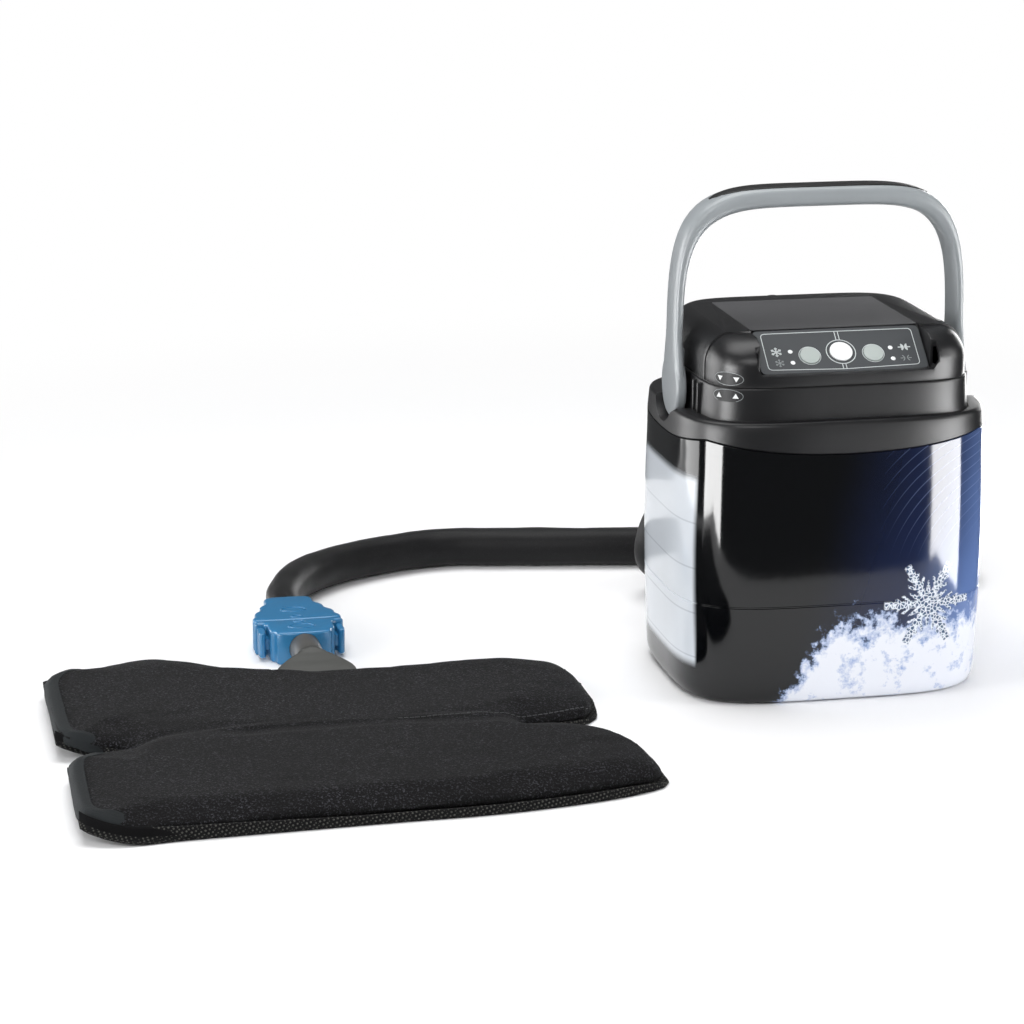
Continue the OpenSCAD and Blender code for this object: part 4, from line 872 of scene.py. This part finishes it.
def cornerPoint(contour, middle, reach):  # the point of an outline that lies so far along from another
    around = [Vector((x, y, 0)) for x, y in contour]
    i = min(range(len(around)), key=lambda k: (around[k] - Vector(middle)).length)
    while abs(reach) > 0.2:
        step = 1 if reach > 0 else -1
        reach -= step * (around[i + step] - around[i]).length
        i += step
    return tuple(around[i])


makeMarks()
print("ink and marks ready")

# handle

handle = {"width": 218, "top": 360, "pivot": 218, "leg": 7.5, "grip": 15, "strap": 29, "paddle": 46,
          "power": 4.7, "sides": 28, "flareTop": 44}


def archPoint(a, b, t):
    p = 2 / handle["power"]
    return Vector((a * signedPower(cos(t), p), 0, handle["pivot"] + b * signedPower(sin(t), p)))


def strapRings(turns, halfWidth, raised, thick, sides, flare=False, ends=None):
    h = handle
    rings = []
    for t in turns:
        a, b = h["width"] / 2, h["top"] - h["pivot"]
        p, q = archPoint(a, b, t), archPoint(a - h["leg"], b - h["grip"], t)
        out = (p - q).normalized()
        depth = thick or (p - q).length
        middle = p + out * (raised - depth / 2)
        half = halfWidth
        if flare:  # the legs widen into the round ends
            half += (h["paddle"] / 2 - halfWidth - 0.4) * (1 - easeStep(p.z - h["pivot"], 4, h["flareTop"]))
        if ends:
            half *= sqrt(max(0.02, 1 - (abs(p.x) / ends) ** 6))
        rings.append([middle + out * (depth / 2 * signedPower(cos(s), 0.62))
                      + Vector((0, half * signedPower(sin(s), 0.62), 0))
                      for s in [2 * pi * k / sides for k in range(sides)]])
    return rings


def archTurns():
    p = handle["power"] / 2
    rising = [asin((0.035 * i) ** p) for i in range(27)]
    crossing = [acos((0.045 * i) ** p) for i in range(20, 0, -1)]
    half = sorted(set(rising + crossing))
    return half + [pi / 2] + [pi - t for t in reversed(half)]


def makeHandle():
    h = handle
    piece = loft("carryBow", strapRings(archTurns(), h["strap"] / 2, 0, 0, h["sides"], flare=True))
    for side in (-1, 1):
        disc = cylinder((side * (h["width"] / 2 - h["leg"] / 2 - 0.3), 0, h["pivot"]), h["paddle"] / 2, h["leg"],
                        alongX, 96)
        bevel(disc, 2.2, 5, 40)
        boolean(piece, disc, "UNION")
        lug = box("lug", (99.2, -8, 231), (104.7, 8, 246))
        if side < 0:
            lug.location.x *= -1
        bevel(lug, 2, 4)
        boolean(piece, lug, "UNION")
    turns = [radians(60 + 60 * i / 40) for i in range(41)]
    tool = loft("insertBed", strapRings(turns, 9.6, 0.4, 2.6, 24, ends=81))
    boolean(piece, tool)
    finishPiece(piece, "handle", materials["mouldedSilverAbs"], ["carry_handle"], angle=38)
    insert = loft("gripInsert", strapRings(turns, 9.4, 0.5, 2.4, 24, ends=80.6))
    finishPiece(insert, "handle", materials["overmouldedTpe"], ["grip_insert"], angle=50)


makeHandle()
print("handle ready")

# coupling, tube and flange

coupling = {"x": -365.5, "seam": 112, "front": 76, "back": 175, "half": 33.5, "high": 25, "tubeZ": 12.5}


def cornersCut(points, times=2):  # rounds the corners of a closed outline
    for _ in range(times):
        out = []
        for i, p in enumerate(points):
            q = points[(i + 1) % len(points)]
            out += [tuple(a + (b - a) * 0.2 for a, b in zip(p, q)), tuple(a + (b - a) * 0.8 for a, b in zip(p, q))]
        points = out
    return points


def plate(name, outline, low, high, edge):
    piece = loft(name, [[(x, y, z) for x, y in outline] for z in (low, high)])
    bevel(piece, edge, 4, 60)
    return piece


def makeCoupling():
    c = coupling
    x, w, seam = c["x"], c["half"], c["seam"]
    hoseSide = [(-w, seam + 0.1), (w, seam + 0.1), (w, seam + 9), (w - 3, seam + 13), (w - 3, seam + 22),
                (w - 9, seam + 30), (w - 9, seam + 39), (w - 15, seam + 46), (w - 15, c["back"])]
    hoseSide += [(-px, py) for px, py in reversed(hoseSide[2:])]
    wrapSide = [(-w + 14, c["front"]), (w - 14, c["front"]), (w - 12, c["front"] + 9), (w - 9, c["front"] + 11),
                (w - 9, seam - 6), (w, seam - 6), (w, seam - 0.1), (-w, seam - 0.1), (-w, seam - 6),
                (-w + 9, seam - 6), (-w + 9, c["front"] + 11), (-w + 12, c["front"] + 9)]
    for name, outline, body, node in (("hoseHalf", hoseSide, "cooler", "hose_coupling"),
                                      ("wrapHalf", wrapSide, "wrap", "wrap_coupling")):
        rounded = cornersCut([(x + px, py) for px, py in outline])
        piece = plate(name, rounded, 0.05, c["high"], 2.2)
        # raised ovals where the thumbs press, and a small arrow-like ridge by the seam
        for px, py, r in ((0, 26, 7.5), (0, 7, 3.2)) if body == "cooler" else ((0, -19, 7.5), (0, -6, 3)):
            bpy.ops.mesh.primitive_torus_add(major_radius=r * mm, minor_radius=0.7 * mm, major_segments=48,
                                             minor_segments=10, location=((x + px) * mm, (seam + py) * mm,
                                                                          (c["high"] - 0.1) * mm))
            oval = bpy.context.object
            oval.scale = (1.25, 0.75, 1)
            applyPlace(oval)
            boolean(piece, oval, "UNION")
        if body == "wrap":
            boolean(piece, cylinder((x, c["front"] - 1, c["tubeZ"]), 11.6, 16, alongY))
            for side in (-1, 1):
                boolean(piece, box("tongueRoom", (x + side * 25.5 - 7, 91.5, 8), (x + side * 25.5 + 7, 101.5, 17)))
        finishPiece(piece, body, materials["polishedBlueAbs"], [node], angle=34)
    for side, node in ((-1, "left_latch"), (1, "right_latch")):
        pad = [(w - 6.4, 88), (w - 1.1, 88), (w - 1.1, 105), (w - 6.4, 105)]
        outline = cornersCut([(x + side * px, py) for px, py in pad])
        piece = plate(node.replace("_latch", "Latch"), outline, 3, c["high"] - 3, 1.2)
        for y in (92, 95, 98, 101):  # finger grooves
            boolean(piece, cylinder((x + side * (w - 0.7), y, 12), 0.9, 40, vertices=24))
        tongue = box("tongue", (x + side * (w - 9) - 3, 91.8, 8.3), (x + side * (w - 9) + 3, 101.2, 16.7))
        boolean(piece, tongue, "UNION")
        finishPiece(piece, node, materials["polishedBlueAbs"], [node], angle=34)


def roundedBar(x0, x1, z0, z1, y, r=2.0, steps=5):
    points = []
    for cx, cz, start in ((x1 - r, z1 - r, 0), (x0 + r, z1 - r, 90), (x0 + r, z0 + r, 180), (x1 - r, z0 + r, 270)):
        for i in range(steps + 1):
            a = radians(start + 90 * i / steps)
            points.append((cx + r * cos(a), y, cz + r * sin(a)))
    return points


def makeTubeAndFlange():
    x, middle = coupling["x"], coupling["tubeZ"]
    profile = ((46.1, 10.6), (46.1, 11.3), (47, 11.5), (55, 11.4), (64, 11.4), (74, 11.4), (82.5, 11.4), (82.5, 9),
               (60, 9), (46.1, 9))
    rings = [[(x + u, y, middle + v) for u, v in squareRound(r, r, 2, 48)] for y, r in profile]
    tube = loft("greyTube", rings, ring=True)
    finishPiece(tube, "wrap", materials["extrudedGreyPvc"], ["wrap_tube"], angle=40)
    # flange: broad and flat at the wrap, rising in soft shoulders to a round cuff
    sections = ((14, 29.5, 6, 14, 2), (18, 29.4, 5.2, 15.5, 3), (21, 28.4, 3.6, 16.8, 4), (25, 26.5, 2.6, 17.8, 5),
                (29, 22, 1.8, 19.5, 5), (33, 17.5, 1.2, 21.5, 6), (37, 14.2, 1, 22.6, 8), (38.2, 13.2, 1, 23.8, 9))
    rings = [roundedBar(x - w, x + w, low, high, y, r) for y, w, low, high, r in sections]
    cuff = [[(x + r * cos(a), y, middle + r * sin(a)) for a in
             [radians(90 * q + 90 * i / 5) for q in range(4) for i in range(6)]]
            for y, r in ((39.5, 12.2), (44, 12.1), (45.4, 11.9), (45.9, 11.4))]
    flange = loft("wrapFlange", rings + cuff)
    finishPiece(flange, "wrap", materials["mouldedGreyRubber"], ["wrap_flange"], angle=40)


makeCoupling()
makeTubeAndFlange()
print("coupling ready")

# wrap: two padded bars joined in the middle, lying on their mesh backing

wrap = {"base": 2.3, "thick": 12.6, "curl": 16, "curlFrom": -515, "curlReach": 60, "sides": 40, "voxel": 4.2,
        "pressure": 4.0, "cap": 5.0, "ridge": 2.2, "mouths": {"far": 46, "near": 78}}
# edges of the far and the near bar, in mm, from left to right
barEdges = {
    "farFar": [(-566, 0), (-561, 30), (-536, 63), (-487, 81), (-445, 60), (-393, 34), (-337, 25), (-272, 31),
               (-205, 25), (-186, 11), (-177, -20)],
    "farNear": [(-566, -92), (-558, -110), (-519, -118), (-478, -118), (-440, -124), (-290, -124), (-250, -119),
                (-213, -113), (-185, -98), (-177, -60)],
    "nearFar": [(-562, -165), (-541, -137), (-513, -122), (-478, -112), (-440, -106), (-290, -106), (-250, -119),
                (-217, -130), (-193, -146), (-173, -183), (-167, -215)],
    "nearNear": [(-562, -262), (-552, -276), (-527, -283), (-483, -279), (-354, -274), (-288, -272), (-220, -262),
                 (-178, -248), (-167, -236)]}
edgeCurves = {name: smoothThrough([(x, y, 0) for x, y in points], 10) for name, points in barEdges.items()}


def edgeAt(name, x):
    curve = edgeCurves[name]
    for p, q in zip(curve, curve[1:]):
        if x <= q.x:
            return p.y + (q.y - p.y) * max(0, x - p.x) / max(1e-6, q.x - p.x)
    return curve[-1].y


def barEnds(side):
    return barEdges[side + "Far"][0][0], min(barEdges[side + edge][-1][0] for edge in ("Far", "Near"))


def gape(side, x):  # 1 where the sleeve of a bar stands open, at its left end
    x0, mouth = barEnds(side)[0], wrap["mouths"][side]
    return 1 - easeStep(x, x0 + mouth * 0.55, x0 + mouth)


def curlAt(x):  # the left ends lift off the table
    return wrap["curl"] * max(0, (wrap["curlFrom"] - x) / wrap["curlReach"]) ** 1.6


def stations(x0, x1):
    inner = [x0 + 0.4 + (x1 - x0 - 0.8) * i / 62 for i in range(63)]
    ends = [x0 + d for d in (1.2, 2.6, 4.5)] + [x1 - d for d in (1.2, 2.6, 4.5)]
    return sorted(inner + ends)


def makePad(name, side):  # one bar of the pad, flat below and crowned above
    w = wrap
    x0, x1 = barEnds(side)
    rings = []
    for x in stations(x0, x1):
        near, far = edgeAt(side + "Near", x), edgeAt(side + "Far", x)
        middle, half = (near + far) / 2, (far - near) / 2
        lift = 1 - 0.75 * (1 - quarterRise(x - x0, 16)) - 0.75 * (1 - quarterRise(x1 - x, 18))
        low, thick = w["base"] + curlAt(x), w["thick"] * max(0.22, lift)
        ring = []
        for k in range(w["sides"]):
            a = 2 * pi * k / w["sides"]
            up = signedPower(sin(a), 0.55)
            ring.append((x, middle + half * signedPower(cos(a), 0.62),
                         low + thick * (0.36 + (0.64 if up > 0 else 0.36) * up)))
        rings.append(ring)
    return loft(name, rings)


def quarterRise(d, reach):  # quarter ellipse from 0 to 1 over the reach
    return sqrt(max(0, 1 - (1 - min(1, d / reach)) ** 2))


def inflate(piece):  # remesh, blow up as cloth, and hold each point near where it was
    w = wrap
    addModifier(piece, "REMESH", mode="VOXEL", voxel_size=w["voxel"] * mm)
    before = [v.co.copy() for v in piece.data.vertices]
    cloth = piece.modifiers.new("air", "CLOTH")
    cloth.settings.quality = 5
    cloth.settings.use_pressure = True
    cloth.settings.uniform_pressure_force = w["pressure"]
    cloth.settings.effector_weights.gravity = 0
    for number in range(1, 21):
        scene.frame_set(number)
    choose(piece)
    bpy.ops.object.modifier_apply(modifier=cloth.name)
    scene.frame_set(1)
    for v, start in zip(piece.data.vertices, before):
        move = v.co - start
        if move.length > w["cap"] * mm:
            v.co = start + move.normalized() * w["cap"] * mm
    addModifier(piece, "SUBSURF", levels=1, render_levels=1)


def mouthLift(x, y):  # the sleeve of each bar gapes below its near edge at the left end
    return max(6.5 * gape(side, x) * (1 - easeStep(abs(y - edgeAt(side + "Near", x)), 6, 18))
               for side in ("far", "near"))


def joined(x, y):
    return (easeStep(x, -484, -455) * (1 - easeStep(x, -262, -240))
            * (1 - easeStep(abs(y + 115), 24, 38)))


def settleWrap(piece):  # rest it on its backing, press it under the flange, raise the joining ridge
    w, x0 = wrap, coupling["x"]
    for v in piece.data.vertices:
        x, y, z = (c / mm for c in v.co)
        low = w["base"] + curlAt(x) + mouthLift(x, y)
        if z > low + 4:
            # the two bars run into each other in the middle
            level = w["base"] + 0.94 * w["thick"]
            z += joined(x, y) * max(0, level - z)
            # raised weld where the two bars meet, fading out to both sides
            line = -118 + 4.5 * sin((x + 470) / 60)
            fade = easeStep(x, -470, -420) * (1 - easeStep(x, -275, -235))
            z += fade * w["ridge"] * exp(-((y - line) / 3.4) ** 2)
            z -= fade * 0.7 * exp(-((y - line + 13) / 8) ** 2)
            # broad slack waves of the fabric
            z += 1.5 * noise.noise(Vector((x / 75, y / 45, 3))) + 0.5 * noise.noise(Vector((x / 20, y / 16, 8)))
        reach = max(abs(x - x0) - 30, 13.5 - y, 0)
        z = min(z, 5.0 + 14 * easeStep(reach, 0, 4.5))
        v.co.z = max(z, low) * mm


wrapCover = join("wrapCover", makePad("farPad", "far"), makePad("nearPad", "near"))
inflate(wrapCover)
settleWrap(wrapCover)
finishPiece(wrapCover, "wrap", padCloth, ["wrap_cover"], angle=180)
print("wrap cover ready:", len(wrapCover.data.vertices), "points")


def makeBacking():  # spacer mesh below the pads, its near wall standing up as the band under each near edge
    pieces, mouths = [], []
    for side, low, high in (("far", 5.5, 8.5), ("near", 7.0, 10.0)):
        (x0, x1), mouth = barEnds(side), wrap["mouths"][side]
        rings, dark = [], []
        for x in stations(x0 + 4, x1 + 0.5):
            inside = min(max(x, x0), x1)
            near, far = edgeAt(side + "Near", inside) - 0.9, edgeAt(side + "Far", inside) + 0.9
            wall = high + (low - high) * easeStep(x, x0 + 60, x0 + 200)
            wall *= max(0.3, quarterRise(x1 + 0.5 - x, 40))
            slack = gape(side, x)
            back = near + 4.5 * slack
            base = 0.05 + curlAt(x)
            rings.append([(x, y, base + z) for y, z in
                          ((near + 3, 0), (far - 2, 0), (far - 0.6, 0.7), (far, 1.9), (far - 0.4, 2.9), (far - 2, 2.2),
                           ((near + far) / 2, 2.1), (back + 3.5, 2.3), (back + 2.6, wall - 0.4), (back + 1.6, wall),
                           (back + 0.5, wall - 0.5), (back, wall * 0.5), (back - 2.5 * slack, 1.3 + 0.5 * slack),
                           (near, 1.5), (near + 0.5, 0.5))])
            # painted shade: a near-black sheet across the gaping mouth at the left end, standing in for the shade of
            # the recess under the pad
            if x < x0 + mouth:
                top = 2.6 + (wall - 2.3) * min(1, (x0 + mouth - x) / 30)
                dark.append([(x, y, base + z) for y, z in
                             ((back - 0.35, 2.2), (back - 0.35, top * 0.5), (back + 0.2, top - 0.3),
                              (back + 1.6, top), (back + 3.0, top), (back + 3.0, 2.2))])
        pieces.append(loft(side + "Backing", rings))
        mouths.append(loft(side + "SleeveGapShade", dark))
    piece = join("wrapBacking", *pieces)
    finishPiece(piece, "wrap", meshCloth, ["wrap_lining"], angle=50)
    # the sheets in the mouths carry painted shade, not a cloth of their own
    finishPiece(join("sleeveGapShade", *mouths), "wrap", materials["paintedMouthShade"])


makeBacking()


def padTop(x, y):  # height of the pad's upper face, or None beside it
    hit, place, _, _ = wrapCover.ray_cast(Vector((x * mm, y * mm, 0.1)), Vector((0, 0, -1)))
    return place.z / mm if hit else None


def leftOutline(x0, near, far):  # the pad's edge round its left end, from the near corner to the far one
    points = []
    centre = Vector((x0 + 42, (near + far) / 2, 0))
    for i in range(61):
        way = Vector((-30 * sin(pi * i / 60) - 6, (near - far) / 2 * cos(pi * i / 60), 0))
        reach = 0.4
        while reach < 3 and padTop(*(centre + way * reach).xy) is not None:
            reach += 0.006
        points.append(centre + way * reach)
    for _ in range(6):
        points = points[:1] + [(p + q * 2 + r) / 4 for p, q, r in zip(points, points[1:], points[2:])] + points[-1:]
    return points


def makeHems():  # flat binding folded round the left ends, sewn down 9 mm in from the edge
    pieces = []
    for side in ("far", "near"):
        x0 = barEdges[side + "Far"][0][0]
        near, far = edgeAt(side + "Near", x0 + 6), edgeAt(side + "Far", x0 + 6)
        path = leftOutline(x0, near, far)
        rings = []
        for i, p in enumerate(path):
            ahead = (path[min(i + 1, len(path) - 1)] - path[max(i - 1, 0)]).normalized()
            inwards = Vector((-ahead.y, ahead.x, 0))
            if inwards.x < 0:
                inwards = -inwards
            low = max(0.6, (padTop(*(p + inwards * 1.0).xy) or 9) - 7)
            sewn = min(1, i / 6, (len(path) - 1 - i) / 6)  # its ends dip into the pad
            above = []
            for step, rise in ((1.2, 0.5), (2.6, 0.9), (4.4, 1.0), (6.2, 0.9), (7.4, 0.55), (8.2, 0.75), (9.2, 0.45)):
                q = p + inwards * step
                top = padTop(q.x, q.y)
                above.append((q.x, q.y, (top if top is not None else above[-1][2]) + rise * sewn - 0.7 * (1 - sewn)))
            out = p - inwards * 1.6 * (sewn - 0.4)
            ring = [(p.x, p.y, low), (out.x, out.y, low + 0.8), (out.x, out.y, max(low + 1.6, above[0][2] - 2.2))]
            ring += above + [(x, y, z - 1.6) for x, y, z in above[::-2]]
            rings.append(ring)
        pieces.append(loft(side + "Hem", rings))
    piece = join("wrapBinding", *pieces)
    finishPiece(piece, "wrap", materials["wovenBindingTape"], ["wrap_hem"], angle=60)


makeHems()


def makeStitches():  # lock-stitch round the right ends and along the near edges, 3.2 mm a stitch
    runs = []
    for side, start in (("far", -330), ("near", -300)):
        x1 = barEnds(side)[1]
        near = [Vector((x, edgeAt(side + "Near", x) + 5.5, 0)) for x in range(start, int(x1) - 7, 4)]
        far = [Vector((x, edgeAt(side + "Far", x) - 5.5, 0)) for x in range(start + 90, int(x1) - 7, 4)]
        runs.append(smoothThrough([tuple(p) for p in near + far[::-1]], 4))
    stitches, walked, last = [], 0.0, None
    for run in runs:
        for p, q in zip(run, run[1:]):
            walked += (q - p).length
            if walked < 3.9:
                continue
            walked = 0.0
            hit, place, normal, _ = wrapCover.ray_cast(Vector((p.x * mm, p.y * mm, 0.1)), Vector((0, 0, -1)))
            if not hit:
                continue
            bpy.ops.mesh.primitive_cylinder_add(vertices=6, radius=0.42 * mm, depth=3.0 * mm, end_fill_type="TRIFAN",
                                                location=place - normal * 0.1 * mm)
            stitch = bpy.context.object
            ahead = (q - p).normalized()
            stitch.rotation_euler = (ahead - normal * ahead.dot(normal)).to_track_quat("Z", "Y").to_euler()
            stitches.append(stitch)
    piece = join("wrapStitches", *stitches)
    applyPlace(piece)
    finishPiece(piece, "wrap", materials["bondedThread"], angle=60)
    print("stitches:", len(stitches))


makeStitches()
print("wrap ready")

# the CAD's own pieces keep their shape and take these finishes

nodeFinishes = {
    "foamedPolyurethane": "insulation_foam", "vacuumFormedHips": "ice_tub", "blackEpdmRubber": "base_pad lid_seal",
    "turnedStainlessSteel": "left_pivot_pin right_pivot_pin", "mouldedBlackAbs": "lid_base",
    "printedPanelFilm": "control_panel", "diffusingLens": "indicator_lights", "printedLabelFilm": "top_label",
    "solderMaskGreen": "circuit_board", "mouldedPolypropylene": "key_switches pump_volute power_jack",
    "paintedMotorSteel": "water_pump_motor", "clearedSilicone": "suction_tube water_line air_line",
    "wovenFilterNylon": "pump_filter", "zincPlatedSteel": "air_pump_motor lid_screws",
    "naturalAcetal": "air_pump_head valve_block pump_impeller coupling_nipples", "turnedBrass": "air_pump_cam",
    "weldedPolyurethaneFilm": "wrap_bladder"}
for finish, nodeNames in nodeFinishes.items():
    for name in nodeNames.split():
        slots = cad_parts[name].data.materials
        slots.clear()
        slots.append(materials[finish])
print("finishes of the inner pieces set")
